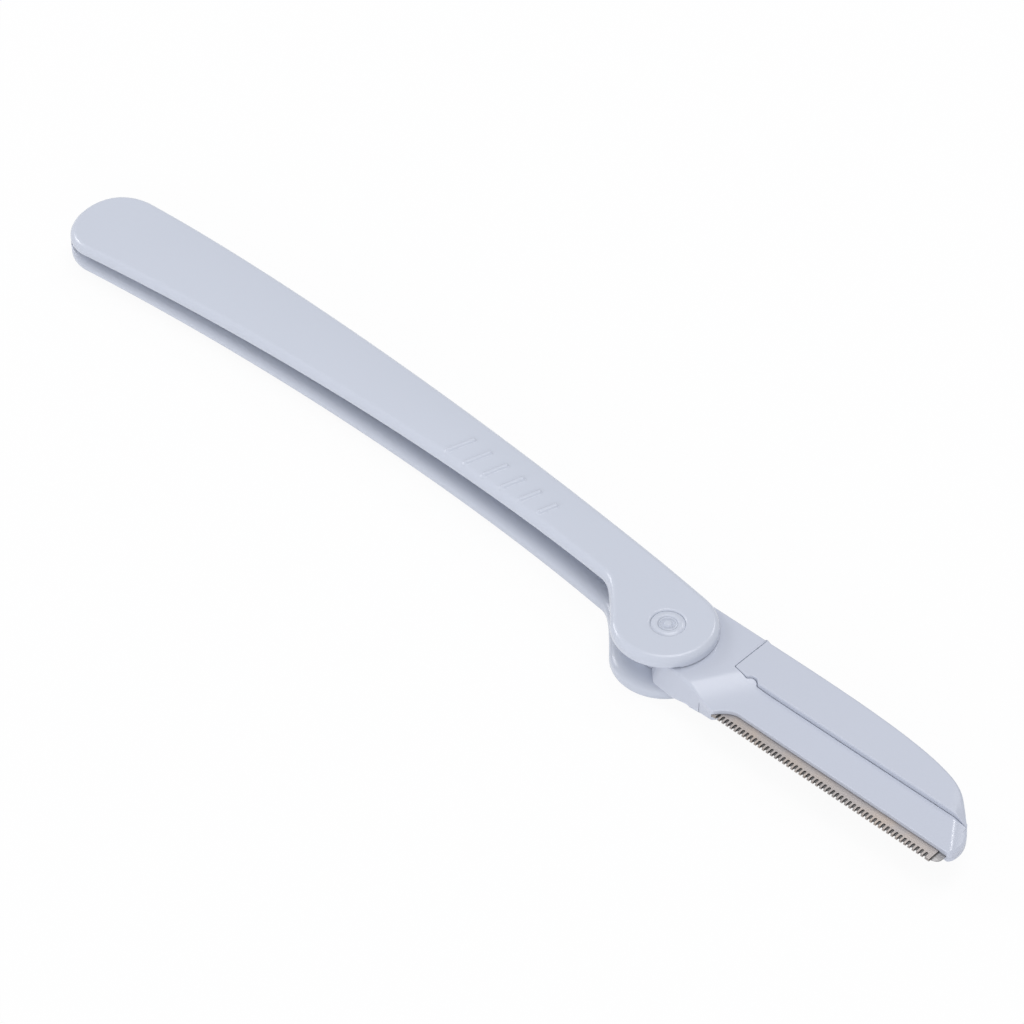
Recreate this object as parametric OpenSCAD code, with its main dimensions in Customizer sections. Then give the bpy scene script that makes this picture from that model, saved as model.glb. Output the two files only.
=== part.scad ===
// Folding eyebrow razor, opened for use.
// The pivot axis is the Z axis, and the back of the pivot's rear ear lies on z = 0.
// The head points along +X, and its spine and the handle's spine are on the +Y side.
// Sizes are in millimetres.

/* [Handle] */
// Distance from the pivot to the end of the tail
handle_len = 110.2; // [100:0.1:125]
// Height of the spine edge at the tail above the pivot
handle_rise = 13.5; // [12.5:0.1:15]
// Thickness of the handle at the pivot, from front face to back face
handle_t = 6.8; // [6.7:0.05:7.2]
// How far the front face slopes back towards the tail
front_taper = 2; // [1.4:0.05:2.1]
// How far the back face slopes forward towards the tail
back_taper = 1.1; // [0.8:0.05:1.2]
// Thickness of the front wall at the pivot
wall_t = 1.45; // [1.3:0.05:1.5]
// Thickness of the back wall at the pivot
back_wall_t = 2; // [1.7:0.05:2.1]
// Thickness of both walls at the tail
tail_wall_t = 1.25; // [1:0.05:1.3]
// Thickness of the wall along the spine and round the tail
spine_t = 1.3; // [1:0.05:1.4]
// Rounding of the handle's front edges
edge_r = 0.9; // [0.4:0.05:1]
// Rounding of the handle's back edges
back_edge_r = 0.4; // [0.3:0.05:0.7]
// How far the front face swells between its edges
crown_h = 0.3; // [0:0.05:0.5]
// Radius of the round ears at the pivot
ear_r = 6.5; // [6.3:0.05:6.8]

/* [Grip ribs] */
// Number of ribs
rib_count = 6; // [3:1:7]
// Distance from the pivot to the rib nearest to it
rib_first = 24.2; // [20:0.1:30]
// Distance from one rib to the next
rib_pitch = 3.2; // [2.6:0.1:4]
// Length of the rib nearest to the pivot
rib_len = 3.15; // [2.5:0.05:4]
// How much longer each rib is than the one before it
rib_grow = 0.25; // [0:0.05:0.4]
// Width of a rib where it meets the face
rib_w = 1; // [0.6:0.05:1.4]
// How far a rib stands out of the face
rib_h = 0.25; // [0.15:0.05:0.4]
// Lean of the ribs from the handle's length
rib_lean = 71; // [60:1:90]

/* [Pivot] */
// Diameter of the sleeve that the head turns on
sleeve_d = 3.2; // [3:0.05:3.4]
// Diameter of the rivet's flanges
flange_d = 4.2; // [3.9:0.05:4.8]
// Thickness of the rivet's flanges
flange_t = 0.5; // [0.4:0.05:0.7]
// Diameter of the pin inside the sleeve
pin_d = 2.3; // [2:0.05:2.4]
// Diameter of the raised dot on the pin's end
dot_d = 0.9; // [0.6:0.05:1.2]
// Running clearance between the hub and the sleeve, on the radius
run_gap = 0.05; // [0.03:0.01:0.08]
// Clearance between the arm and each wall
side_gap = 0.1; // [0.06:0.01:0.15]

/* [Head] */
// Distance from the pivot to the tip of the head
head_len = 45.8; // [44:0.1:50]
// Height of the head's spine edge above the pivot
head_rise = 7.1; // [6.9:0.05:7.5]
// Length of the full-thickness arm, from the pivot to the upright seam
arm_len = 9.4; // [9:0.1:9.9]
// Radius of the arm's hub
hub_r = 3.5; // [2.8:0.1:4]
// Rounding of the head's outer edges
head_edge_r = 0.4; // [0.2:0.05:0.5]
// Height of the long seam above the pivot, at the arm
seam_y = 1.2; // [0.9:0.05:1.5]
// How far the long seam falls beside the arm
seam_fall = 0.3; // [0.1:0.05:0.4]
// Width of the seams between the two mouldings
seam_gap = 0.06; // [0.03:0.01:0.1]
// Thickness of the clamp plate in front of the blade, over the guard
plate_t = 0.55; // [0.45:0.05:0.6]
// Thickness of the plate behind the blade, under the guard
back_t = 0.55; // [0.45:0.05:0.6]
// Slope of the clamp plate down to the tip
tip_slope = 17; // [12:1:22]
// Slope of the scooped face from the arm down to the clamp plate
scoop_slope = 10.4; // [8:0.2:14]
// Radius of the half-round key in the seam
key_r = 0.75; // [0.6:0.05:0.9]
// Diameter of the pegs that hold the blade
peg_d = 1.2; // [0.9:0.05:1.4]

/* [Blade and comb guard] */
// Depth of the middle of the blade below the handle's front face
blade_depth = 2.95; // [2.9:0.05:3.1]
// Drop of the guard's folded edge below the pivot
edge_drop = 5.65; // [5.5:0.05:5.8]
// Distance from the blade's edge to the inside of the guard's fold
edge_gap = 0.15; // [0.01:0.01:0.25]
// Distance from the arm's end to the end of the blade
blade_start = 2.5; // [2.3:0.1:3]
// Distance from the other end of the blade to the tip
blade_end = 0.7; // [0.65:0.05:1]
// Distance from the end of the guard to the end of the blade
guard_end = 1; // [0.6:0.05:1.5]
// Height of the blade, from its edge to its back
blade_h = 4.1; // [3.9:0.05:4.4]
// Thickness of the blade
blade_t = 0.2; // [0.15:0.01:0.22]
// Height of the blade's ground edge
grind_h = 0.6; // [0.4:0.05:0.8]
// Thickness of the guard's folded sheet
sheet_t = 0.1; // [0.08:0.01:0.12]
// Height of the steel that shows below the clamp plate
show_h = 1.85; // [1.7:0.05:2]
// Distance from one comb slot to the next
slot_pitch = 0.614; // [0.55:0.005:0.75]
// Width of a comb slot
slot_w = 0.36; // [0.28:0.01:0.42]
// Height of a comb slot
slot_h = 0.8; // [0.6:0.05:0.95]

/* [Hidden] */
$fn = 64;

plastic_colour = [0.83, 0.86, 0.91];
steel_colour = [0.72, 0.69, 0.65];

// Overrun of every cut beyond the face that it starts from
over = 0.5;
// Clearance between pieces that are pressed or clamped together
fit_gap = 0.01;
// Clearance round the blade and the guard in their pockets
pocket_gap = 0.05;
// Steps of a rounded edge, and of a rounded corner
edge_steps = 4;
corner_steps = 5;

// Levels of the head, from back to front
mid_z = handle_t - blade_depth;
arm_z0 = back_wall_t + side_gap;
arm_z1 = handle_t - wall_t - side_gap;
blade_z0 = mid_z - blade_t / 2;
blade_z1 = mid_z + blade_t / 2;
guard_z0 = blade_z0 - fit_gap - sheet_t;
guard_z1 = blade_z1 + fit_gap + sheet_t;
plate_z1 = guard_z1 + fit_gap + plate_t;
back_z0 = guard_z0 - fit_gap - back_t;
key_z0 = back_z0 + back_t / 2;

// Handle outline. The ear's centre lies a little towards the tail from the pivot.
ear_centre_share = [-0.073, 0.003];
ear_c = ear_r * ear_centre_share;
spine_tangent = 82;
neck_tangent = -136;
ear_middle = (spine_tangent + neck_tangent) / 2;
// Control points of the outline's curves, as shares of the handle's length and rise
spine_share = [[-0.345, 0.88], [-0.71, 1.06], [-0.944, 0.965]];
tail_top_share = [[-0.979, 0.95], [-1, 0.78], [-1, 0.52]];
tail_low_share = [[-1, 0.25], [-0.978, 0]];
belly_share = [[-0.11, 0.08], [-0.364, 0.32], [-0.68, 0.265], [-0.942, 0.004]];
neck_share = [[-0.096, 0.076], [-0.088, 0.044]];
// Share of the spine curve that lies beside the neck
spine_neck_share = 0.12;
ear_steps = 14;
neck_steps = 8;
side_steps = 24;
tail_steps = 9;
// Steps of the tail's lower curve along which the slot stays open
slot_tail_steps = 4;
cap_steps = 6;
// Distances from the pivot at which the outside and the slot begin to taper
taper_x = ear_r + edge_r;
slot_taper_x = 2 * ear_r;
// Length over which the crown grows from nothing
crown_run = 4 * ear_r;
// Where the spine wall stops to let the arm swing
wall_end_x = ear_r / 12;
// Height of the ribs' lower ends above the pivot, and how much of it each rib gains
rib_y_share = 0.22;
rib_rise_share = 0.008;

// How deep the sleeve's flange lies below the front face
rivet_sink = 0.04;
rivet_z1 = handle_t - rivet_sink;
pin_sink = 0.1;
dot_h = 0.08;
chamfer = 0.12;

// Corners of the heel at the back of the arm and at its front, as shares of the ear's radius
arm_low_share = 0.765;
heel_low_share = [[0.115, -0.54], [0.385, -0.81], [0.85, -0.85], [1.19, -0.79]];
heel_top_share = [[0.115, -0.5], [0.47, -0.64], [0.79, -0.68], [1.19, -0.72]];
arm_low_y = -ear_r * arm_low_share;
shoulder_x = wall_end_x + side_gap;
shoulder_r = 0.6;
heel_r = head_edge_r * 2;
// Control points of the head's outer edge, as shares of its length and rise
spine_edge_share = [[0.51, 1], [0.83, 1], [0.908, 0.507]];
tip_edge_share = [[0.9606, 0.186], [1, -0.02], [1, -0.33]];
tip_corner_share = [[1, -0.42], [0.998, -0.5], [0.988, -0.54]];
spine_edge_steps = 16;
tip_edge_steps = 10;
seam_low_y = seam_y - seam_fall;
key_share = 1.18;
key_x = arm_len + key_share * blade_start;
key_y = seam_low_y - key_r / 4;
// Corner of the two plates where the steel begins, as shares of the height that shows
plate_corner_share = [[0, 0], [0.3, 0.3], [0.55, 0.8], [1.3, 1]];
// Start of the scooped face, as shares of the arm's length, and its heading
scoop_share = [0.94, -0.17];
scoop_heading = -29.7;
// Fold at the end of the clamp plate, as shares of the head's length and rise, and its heading
fold_share = [0.9365, 0.028];
fold_heading = -56.3;
// Slope of the cover beyond the fold, against the clamp plate's, and of its underside
cover_slope_share = 1.6;
back_slope_share = 0.7;
// How far the plate behind the blade reaches into the strip
plate_lap = 0.5;

// Blade and guard
guard_facets = 24;
blade_x0 = arm_len + blade_start;
blade_x1 = head_len - blade_end;
blade_y0 = -edge_drop + sheet_t + edge_gap;
blade_y1 = blade_y0 + blade_h;
blade_corner_r = blade_h / 4;
guard_x1 = blade_x1 - guard_end;
guard_y1 = -edge_drop + show_h + blade_h / 6;
plate_y = -edge_drop + show_h;
edge_t = blade_t / 10;
peg_y = (guard_y1 + blade_y1) / 2;
peg_depth = plate_t / 2;
peg_share = [0.16, 0.84];
slot_count = floor((guard_x1 - blade_x0 - slot_w) / slot_pitch);
slot_margin = (guard_x1 - blade_x0 - (slot_count - 1) * slot_pitch) / 2;

// Cubic curve through the first and last of four points
function curve(p, n, t0 = 0) =
    [for (i = [0:n]) let (t = t0 + (1 - t0) * i / n, u = 1 - t)
        u * u * u * p[0] + 3 * u * u * t * p[1] + 3 * u * t * t * p[2] + t * t * t * p[3]];

// First stretch of the same curve
function curve_start(p, n, t1) =
    [for (i = [0:n]) let (t = t1 * i / n, u = 1 - t)
        u * u * u * p[0] + 3 * u * u * t * p[1] + 3 * u * t * t * p[2] + t * t * t * p[3]];

// Arc about a centre
function arc(c, r, a0, a1, n) =
    [for (i = [0:n]) let (a = a0 + (a1 - a0) * i / n) c + r * [cos(a), sin(a)]];

// Points given as shares of a width and a height
function placed(shares, w, h) = [for (s = shares) [s[0] * w, s[1] * h]];

function tail_of(list) = [for (i = [1:len(list) - 1]) list[i]];
function slice(list, i0, i1) = [for (i = [i0:i1]) list[i]];
function reversed(list) = [for (i = [len(list) - 1:-1:0]) list[i]];
function clamp(v, low, high) = min(max(v, low), high);
function smooth(t) = let (c = clamp(t, 0, 1)) c * c * (3 - 2 * c);

// Anticlockwise loop moved inwards by a distance times a share for each point
function inset(loop, d, shares) =
    let (n = len(loop))
    [for (i = [0:n - 1])
        let (along = loop[(i + 1) % n] - loop[(i + n - 1) % n], unit = along / norm(along))
        loop[i] + d * shares[i] * [-unit[1], unit[0]]];

// Polygon whose corners [x, y, radius] are rounded
function rounded(corners) =
    let (n = len(corners))
    [for (i = [0:n - 1])
        let (b = [corners[i][0], corners[i][1]],
             before = corners[(i + n - 1) % n],
             after = corners[(i + 1) % n],
             u = [before[0], before[1]] - b,
             v = [after[0], after[1]] - b,
             uu = u / norm(u),
             vv = v / norm(v),
             half = acos(uu * vv) / 2,
             r = corners[i][2],
             c = b + (uu + vv) / norm(uu + vv) * r / sin(half),
             p0 = b + uu * r / tan(half) - c,
             a0 = atan2(p0[1], p0[0]),
             turn = (uu[0] * vv[1] - uu[1] * vv[0] > 0 ? -1 : 1) * (180 - 2 * half))
        each [for (k = [0:corner_steps])
            let (a = a0 + turn * k / corner_steps) c + r * [cos(a), sin(a)]]];

// The share of the edge rounding at each point of such a polygon, given as the corner's fourth value
function softness(corners) = [for (c = corners) for (k = [0:corner_steps]) c[3]];

function all_soft(loop) = [for (p = loop) 1];

// Faces between rings of n points each, stacked from the bottom up
function ring_faces(rings, n) =
    [for (r = [0:rings - 2]) for (i = [0:n - 1])
        let (j = (i + 1) % n, a = r * n, b = a + n)
        each [[a + i, b + i, b + j], [a + i, b + j, a + j]]];

// Rings of a rounded lower edge and a rounded upper edge, as [inset, lift from the bottom or the top]
function low_edge(r) =
    [for (k = [0:edge_steps]) let (a = 90 * k / edge_steps) [r * (1 - sin(a)), r * (1 - cos(a))]];
function top_edge(r) =
    [for (k = [0:edge_steps]) let (a = 90 * k / edge_steps) [r * (1 - cos(a)), -r * (1 - sin(a))]];

// Place where a falling path crosses a height
function crossing(path, y) =
    [for (i = [0:len(path) - 2])
        let (a = path[i], b = path[i + 1])
        if (a[1] >= y && b[1] < y) a + (b - a) * (a[1] - y) / (a[1] - b[1])][0];

// Plate with flat faces, from a loop at its bottom to a loop at its top, with rounded edges.
// Each face is a fan of triangles about its middle.
module slab(low, top, z0, z1, r, shares, middle) {
    n = len(low);
    rings = concat(
        [for (e = low_edge(r)) [for (p = inset(low, e[0], shares)) [p[0], p[1], z0 + e[1]]]],
        [for (e = top_edge(r)) [for (p = inset(top, e[0], shares)) [p[0], p[1], z1 + e[1]]]]);
    last = len(rings) * n - n;
    polyhedron(
        points = concat(
            [for (ring = rings) each ring],
            [[middle[0], middle[1], z0], [middle[0], middle[1], z1]]),
        faces = concat(
            [for (i = [0:n - 1]) [i, (i + 1) % n, last + n]],
            ring_faces(len(rings), n),
            [for (i = [0:n - 1]) [last + (i + 1) % n, last + i, last + n + 1]]));
}

// Handle: paired points along the spine and the belly, from the ear's round end to the tail
spine_p = concat([ear_c + ear_r * [cos(spine_tangent), sin(spine_tangent)]],
    placed(spine_share, handle_len, handle_rise));
tail_top_p = concat([spine_p[3]], placed(tail_top_share, handle_len, handle_rise));
belly_p = placed(belly_share, handle_len, handle_rise);
tail_low_p = concat([belly_p[3]],
    reversed(placed(tail_low_share, handle_len, handle_rise)), [tail_top_p[3]]);
neck_p = concat([ear_c + ear_r * [cos(neck_tangent), sin(neck_tangent)]],
    reversed(placed(neck_share, handle_len, handle_rise)), [belly_p[0]]);
spine_side = concat(
    arc(ear_c, ear_r, ear_middle, spine_tangent, ear_steps),
    tail_of(curve_start(spine_p, neck_steps, spine_neck_share)),
    tail_of(curve(spine_p, side_steps, spine_neck_share)),
    tail_of(curve(tail_top_p, tail_steps)));
belly_side = concat(
    arc(ear_c, ear_r, ear_middle, neck_tangent, ear_steps),
    tail_of(curve(neck_p, neck_steps)),
    tail_of(curve(belly_p, side_steps)),
    tail_of(curve(tail_low_p, tail_steps)));
pairs = len(spine_side) - 1;
handle_loop = concat(spine_side, reversed(slice(belly_side, 1, pairs - 1)));
loop_n = len(handle_loop);

// Height of the two faces' edges, and of the crown above the front one, at a place along the handle
function taper_at(x) = clamp((-x - taper_x) / (handle_len - taper_x), 0, 1);
function front_z(x) = handle_t - front_taper * taper_at(x);
function back_z(x) = back_taper * taper_at(x);
function crown_z(x, width, s) =
    crown_h * 4 * s * (1 - s) * smooth((-x - taper_x) / crown_run) * min(width / ear_r, 1);

// Index of a point of the front face: i counts the pairs, j counts across from belly to spine
function cap_index(i, j, top, base) =
    i == 0 ? top :
    i == pairs ? top + pairs :
    j == 0 ? top + loop_n - i :
    j == cap_steps ? top + i :
    base + (i - 1) * (cap_steps - 1) + j - 1;

module handle_shell() {
    soft = all_soft(handle_loop);
    rings = concat(
        [for (e = low_edge(back_edge_r))
            [for (p = inset(handle_loop, e[0], soft)) [p[0], p[1], back_z(p[0]) + e[1]]]],
        [for (e = top_edge(edge_r))
            [for (p = inset(handle_loop, e[0], soft)) [p[0], p[1], front_z(p[0]) + e[1]]]]);
    last = rings[len(rings) - 1];
    top = (len(rings) - 1) * loop_n;
    base = top + loop_n;
    inner = [for (i = [1:pairs - 1]) for (j = [1:cap_steps - 1])
        let (v = last[loop_n - i], u = last[i], s = j / cap_steps, p = v + (u - v) * s)
        [p[0], p[1], p[2] + crown_z(p[0], norm(u - v), s)]];
    polyhedron(
        points = concat([for (ring = rings) each ring], inner),
        faces = concat(
            [for (i = [0:pairs - 1])
                let (v0 = (loop_n - i) % loop_n, v1 = loop_n - i - 1)
                each concat(i == 0 ? [] : [[i, i + 1, v0]], i == pairs - 1 ? [] : [[i + 1, v1, v0]])],
            ring_faces(len(rings), loop_n),
            [for (i = [0:pairs - 1]) for (j = [0:cap_steps - 1])
                let (a = cap_index(i, j, top, base),
                     b = cap_index(i + 1, j, top, base),
                     c = cap_index(i + 1, j + 1, top, base),
                     d = cap_index(i, j + 1, top, base))
                each concat(b == c ? [] : [[a, b, c]], a == d ? [] : [[a, c, d]])]));
}

// Slot that the head folds into: everything inside the spine wall, open along the belly and at the ears
module handle_slot() {
    wall = inset(handle_loop, spine_t, all_soft(handle_loop));
    inner = slice(wall, ear_steps + 1, loop_n - (ear_steps + neck_steps + side_steps + slot_tail_steps));
    end = inner[len(inner) - 1];
    low_y = -2 * ear_r;
    right_x = 2 * ear_r;
    intersection() {
        linear_extrude(handle_t)
            polygon(concat(
                [[wall_end_x, handle_rise], [wall_end_x, inner[0][1]]],
                inner,
                [[end[0], low_y], [right_x, low_y], [right_x, handle_rise]]));
        rotate([90, 0, 0])
            linear_extrude(4 * handle_rise, center = true)
                polygon([
                    [right_x, back_wall_t],
                    [right_x, handle_t - wall_t],
                    [-slot_taper_x, handle_t - wall_t],
                    [-handle_len, handle_t - front_taper - tail_wall_t],
                    [-handle_len, back_taper + tail_wall_t],
                    [-slot_taper_x, back_wall_t]]);
    }
}

// Low rib with round ends, sunk so that only its top shows
module rib(length) {
    r = (rib_w * rib_w / 4 + rib_h * rib_h) / (2 * rib_h);
    half = length / 2 - rib_w / 2;
    translate([0, 0, rib_h - r])
        rotate([0, 90, 0])
            rotate_extrude()
                intersection() {
                    union() {
                        translate([-r, -half])
                            square([2 * r, 2 * half]);
                        translate([0, half])
                            circle(r);
                        translate([0, -half])
                            circle(r);
                    }
                    translate([0, -length])
                        square([length, 2 * length]);
                }
}

module handle() {
    face_slope = atan(front_taper / (handle_len - taper_x));
    color(plastic_colour) {
        difference() {
            handle_shell();
            handle_slot();
            translate([0, 0, -over])
                cylinder(h = handle_t + 2 * over, d = sleeve_d + 2 * fit_gap);
            translate([0, 0, rivet_z1 - flange_t - fit_gap])
                cylinder(h = handle_t, d = flange_d + 2 * fit_gap);
            translate([0, 0, -over])
                cylinder(h = flange_t + fit_gap + over, d = flange_d + 2 * fit_gap);
        }
        for (i = [0:rib_count - 1]) {
            x = -rib_first - i * rib_pitch;
            length = rib_len + i * rib_grow;
            y = handle_rise * (rib_y_share + i * rib_rise_share) + length / 2;
            crown = crown_h * smooth((-x - taper_x) / crown_run);
            translate([x + length / 2 * cos(rib_lean), y, front_z(x) + crown])
                rotate([0, -face_slope, rib_lean])
                    rib(length);
        }
    }
}

// Rivet sleeve: a tube with a flange let into the front ear
module pivot_sleeve() {
    inner = pin_d / 2 + fit_gap;
    tube = sleeve_d / 2;
    flange = flange_d / 2;
    z0 = flange_t + fit_gap;
    color(plastic_colour)
        rotate_extrude()
            polygon([
                [inner, z0],
                [tube, z0],
                [tube, rivet_z1 - flange_t],
                [flange, rivet_z1 - flange_t],
                [flange, rivet_z1 - chamfer],
                [flange - chamfer, rivet_z1],
                [inner + chamfer, rivet_z1],
                [inner, rivet_z1 - chamfer]]);
}

// Rivet pin: its head lies in the back ear, and its end shows inside the sleeve with a raised dot
module pivot_pin() {
    shank = pin_d / 2;
    head = flange_d / 2;
    end_z = rivet_z1 - pin_sink;
    color(plastic_colour)
        rotate_extrude()
            polygon([
                [0, 0],
                [head - chamfer, 0],
                [head, chamfer],
                [head, flange_t],
                [shank, flange_t],
                [shank, end_z - chamfer],
                [shank - chamfer, end_z],
                [dot_d / 2 + dot_h, end_z],
                [dot_d / 2, end_z + dot_h],
                [0, end_z + dot_h]]);
}

// Head's outer edge, from the seam at the arm along the spine and round the tip
head_edge = concat(
    curve(concat([[arm_len + seam_gap, head_rise]],
        placed(spine_edge_share, head_len, head_rise)), spine_edge_steps),
    tail_of(curve(
        placed(concat([spine_edge_share[2]], tip_edge_share), head_len, head_rise), tip_edge_steps)),
    tail_of(curve(placed(concat([tip_edge_share[2]], tip_corner_share), head_len, head_rise), corner_steps)));

// Lower edge of the two plates, from the arm to the tip
plate_corner = [for (s = plate_corner_share)
    [blade_x0 + s[0] * show_h, -edge_drop + s[1] * show_h]];
plate_low = concat([[arm_len - over, arm_low_y]], curve(plate_corner, corner_steps),
    [[blade_x1 - pocket_gap, plate_y]]);

// Cutter for everything in front of a sloping face that starts along a line at a place
module slope_cut(place, heading, slope) {
    translate(place)
        rotate([0, 0, heading])
            rotate([0, slope, 0])
                translate([0, -head_len, 0])
                    cube([head_len, 2 * head_len, head_len]);
}

// Outline of the blade, grown by a clearance
module blade_outline(grow) {
    r = blade_corner_r + grow;
    polygon(rounded([
        [blade_x0 - grow, blade_y0 - grow, r / 2],
        [blade_x1 + grow, blade_y0 - grow, r],
        [blade_x1 + grow, blade_y1 + grow, r],
        [blade_x0 - grow, blade_y1 + grow, r / 2]]));
}

// Pocket of the blade, and of the guard's legs beside it, open at the edge
module steel_pocket() {
    x0 = blade_x0 - pocket_gap;
    translate([x0, -2 * ear_r, blade_z0 - fit_gap])
        cube([blade_x1 + pocket_gap - x0, 2 * ear_r + blade_y1 + pocket_gap, blade_t + 2 * fit_gap]);
    translate([x0, -2 * ear_r, guard_z0 - fit_gap])
        cube([guard_x1 + pocket_gap - x0, 2 * ear_r + guard_y1 + pocket_gap,
            guard_z1 - guard_z0 + 2 * fit_gap]);
}

// Places of the pegs along the blade
module at_pegs() {
    for (s = peg_share)
        translate([blade_x0 + s * (blade_x1 - blade_x0), peg_y, 0])
            children();
}

// Arm with its shoulder and its leaning heel
module arm() {
    top = [
        [arm_len, head_rise, head_edge_r / 2, 0],
        [shoulder_x, head_rise, shoulder_r, 1],
        [shoulder_x, 0, shoulder_r, 0]];
    low = [[arm_len, arm_low_y, head_edge_r / 2, 0]];
    heel_low = [for (s = heel_low_share) [s[0] * ear_r, s[1] * ear_r, heel_r, 1]];
    heel_top = [for (s = heel_top_share) [s[0] * ear_r, s[1] * ear_r, heel_r, 1]];
    back = concat(top, heel_low, low);
    front = concat(top, heel_top, low);
    slab(rounded(back), rounded(front), arm_z0, arm_z1, head_edge_r, softness(back), [arm_len / 2, 0]);
    translate([0, 0, arm_z0])
        cylinder(h = arm_z1 - arm_z0, r = hub_r);
}

// Clamp plate in front of the blade, with the half-round key in the seam
module clamp_plate() {
    translate([0, 0, blade_z0])
        linear_extrude(arm_z1 - blade_z0)
            polygon(concat(
                plate_low,
                reversed([for (p = head_edge) if (p[1] < seam_low_y) p]),
                [crossing(head_edge, seam_low_y),
                [key_x - key_r, seam_low_y],
                [arm_len, seam_y],
                [arm_len - over, seam_y]]));
    translate([key_x, key_y, key_z0 + fit_gap])
        cylinder(h = arm_z1 - key_z0 - fit_gap, r = key_r);
}

module blade_carrier() {
    fold = [fold_share[0] * head_len, fold_share[1] * head_rise];
    color(plastic_colour)
        difference() {
            union() {
                arm();
                clamp_plate();
            }
            intersection() {
                slope_cut([scoop_share[0] * arm_len, scoop_share[1] * arm_len, arm_z1],
                    scoop_heading, scoop_slope);
                translate([0, -head_len, plate_z1])
                    cube([2 * head_len, 2 * head_len, head_len]);
            }
            slope_cut([fold[0], fold[1], plate_z1], 90 + fold_heading, tip_slope);
            steel_pocket();
            at_pegs()
                translate([0, 0, blade_z1])
                    cylinder(h = peg_depth + fit_gap, d = peg_d + 2 * fit_gap);
            translate([0, 0, -over])
                cylinder(h = handle_t, d = sleeve_d + 2 * run_gap);
        }
}

// Strip along the spine, above the seam
module cover_strip() {
    low_y = seam_low_y + seam_gap;
    seam = [[arm_len + seam_gap, seam_y + seam_gap], [key_x - key_r, low_y], crossing(head_edge, low_y)];
    outer = reversed([for (p = head_edge) if (p[1] > low_y + head_edge_r) p]);
    loop = concat(seam, outer);
    shares = concat([for (p = seam) 0], [for (i = [1:len(outer)]) i < len(outer) ? 1 : 0]);
    slab(loop, loop, arm_z0, arm_z1, head_edge_r, shares, [head_len / 2, head_rise / 2]);
}

// Plate behind the blade, thicker beside the arm
module back_plate() {
    top_y = seam_y + plate_lap;
    low_y = seam_low_y + seam_gap;
    tip = crossing(head_edge, low_y);
    left_x = arm_len + seam_gap;
    translate([0, 0, back_z0])
        linear_extrude(blade_z0 - fit_gap - back_z0)
            polygon(concat(
                [[left_x, arm_low_y]],
                tail_of(plate_low),
                reversed([for (p = head_edge) if (p[1] < low_y) p]),
                [tip, [tip[0] - plate_lap, top_y], [left_x, top_y]]));
    intersection() {
        translate([0, top_y, 0])
            rotate([90, 0, 0])
                linear_extrude(top_y + edge_drop)
                    polygon([
                        [left_x, arm_z0],
                        [blade_x0 - pocket_gap, back_z0],
                        [blade_x0 - pocket_gap, key_z0],
                        [left_x, key_z0]]);
        linear_extrude(handle_t)
            polygon([
                [left_x, arm_low_y],
                plate_low[1],
                [plate_low[1][0], top_y],
                [left_x, top_y]]);
    }
}

module spine_cover() {
    fold = [fold_share[0] * head_len, fold_share[1] * head_rise];
    color(plastic_colour) {
        difference() {
            union() {
                cover_strip();
                back_plate();
            }
            slope_cut([fold[0], fold[1], arm_z1], 90 + fold_heading, cover_slope_share * tip_slope);
            mirror([0, 0, 1])
                slope_cut([fold[0], fold[1], -arm_z0], 90 + fold_heading, back_slope_share * tip_slope);
            steel_pocket();
            translate([key_x, key_y, key_z0])
                cylinder(h = handle_t, r = key_r + seam_gap);
        }
        at_pegs()
            translate([0, 0, key_z0])
                cylinder(h = blade_z1 + peg_depth - key_z0, d = peg_d);
    }
}

// Blade: flat steel with a ground edge and two holes for the pegs
module blade() {
    half = blade_t / 2;
    color(steel_colour)
        difference() {
            intersection() {
                translate([0, 0, blade_z0 - over])
                    linear_extrude(blade_t + 2 * over)
                        blade_outline(0);
                translate([blade_x0 - over, 0, mid_z])
                    rotate([90, 0, 90])
                        linear_extrude(blade_x1 - blade_x0 + 2 * over)
                            polygon([
                                [blade_y0, -edge_t / 2],
                                [blade_y0 + grind_h, -half],
                                [blade_y1 + over, -half],
                                [blade_y1 + over, half],
                                [blade_y0 + grind_h, half],
                                [blade_y0, edge_t / 2]]);
            }
            at_pegs()
                cylinder(h = handle_t, d = peg_d + 2 * pocket_gap);
        }
}

// Comb guard: a sheet folded round the edge, with slots cut through the fold
module comb_guard() {
    $fn = guard_facets;
    outer = (guard_z1 - guard_z0) / 2;
    inner = outer - sheet_t;
    nose_y = -edge_drop + outer;
    color(steel_colour)
        difference() {
            translate([blade_x0, 0, mid_z])
                rotate([90, 0, 90])
                    linear_extrude(guard_x1 - blade_x0)
                        difference() {
                            union() {
                                translate([nose_y, 0])
                                    circle(outer);
                                translate([nose_y, -outer])
                                    square([guard_y1 - nose_y, 2 * outer]);
                            }
                            translate([nose_y, 0])
                                circle(inner);
                            translate([nose_y, -inner])
                                square([guard_y1 - nose_y + over, 2 * inner]);
                        }
            for (i = [0:slot_count - 1])
                translate([blade_x0 + slot_margin + i * slot_pitch, -edge_drop, mid_z - 2 * outer])
                    linear_extrude(4 * outer)
                        union() {
                            translate([-slot_w / 2, -over])
                                square([slot_w, over + slot_h - slot_w / 2]);
                            translate([0, slot_h - slot_w / 2])
                                circle(d = slot_w);
                        }
        }
}

handle();
pivot_sleeve();
pivot_pin();
blade_carrier();
spine_cover();
blade();
comb_guard();
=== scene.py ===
"""Folding eyebrow razor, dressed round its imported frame, in the frame's own axes."""

import math

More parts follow.
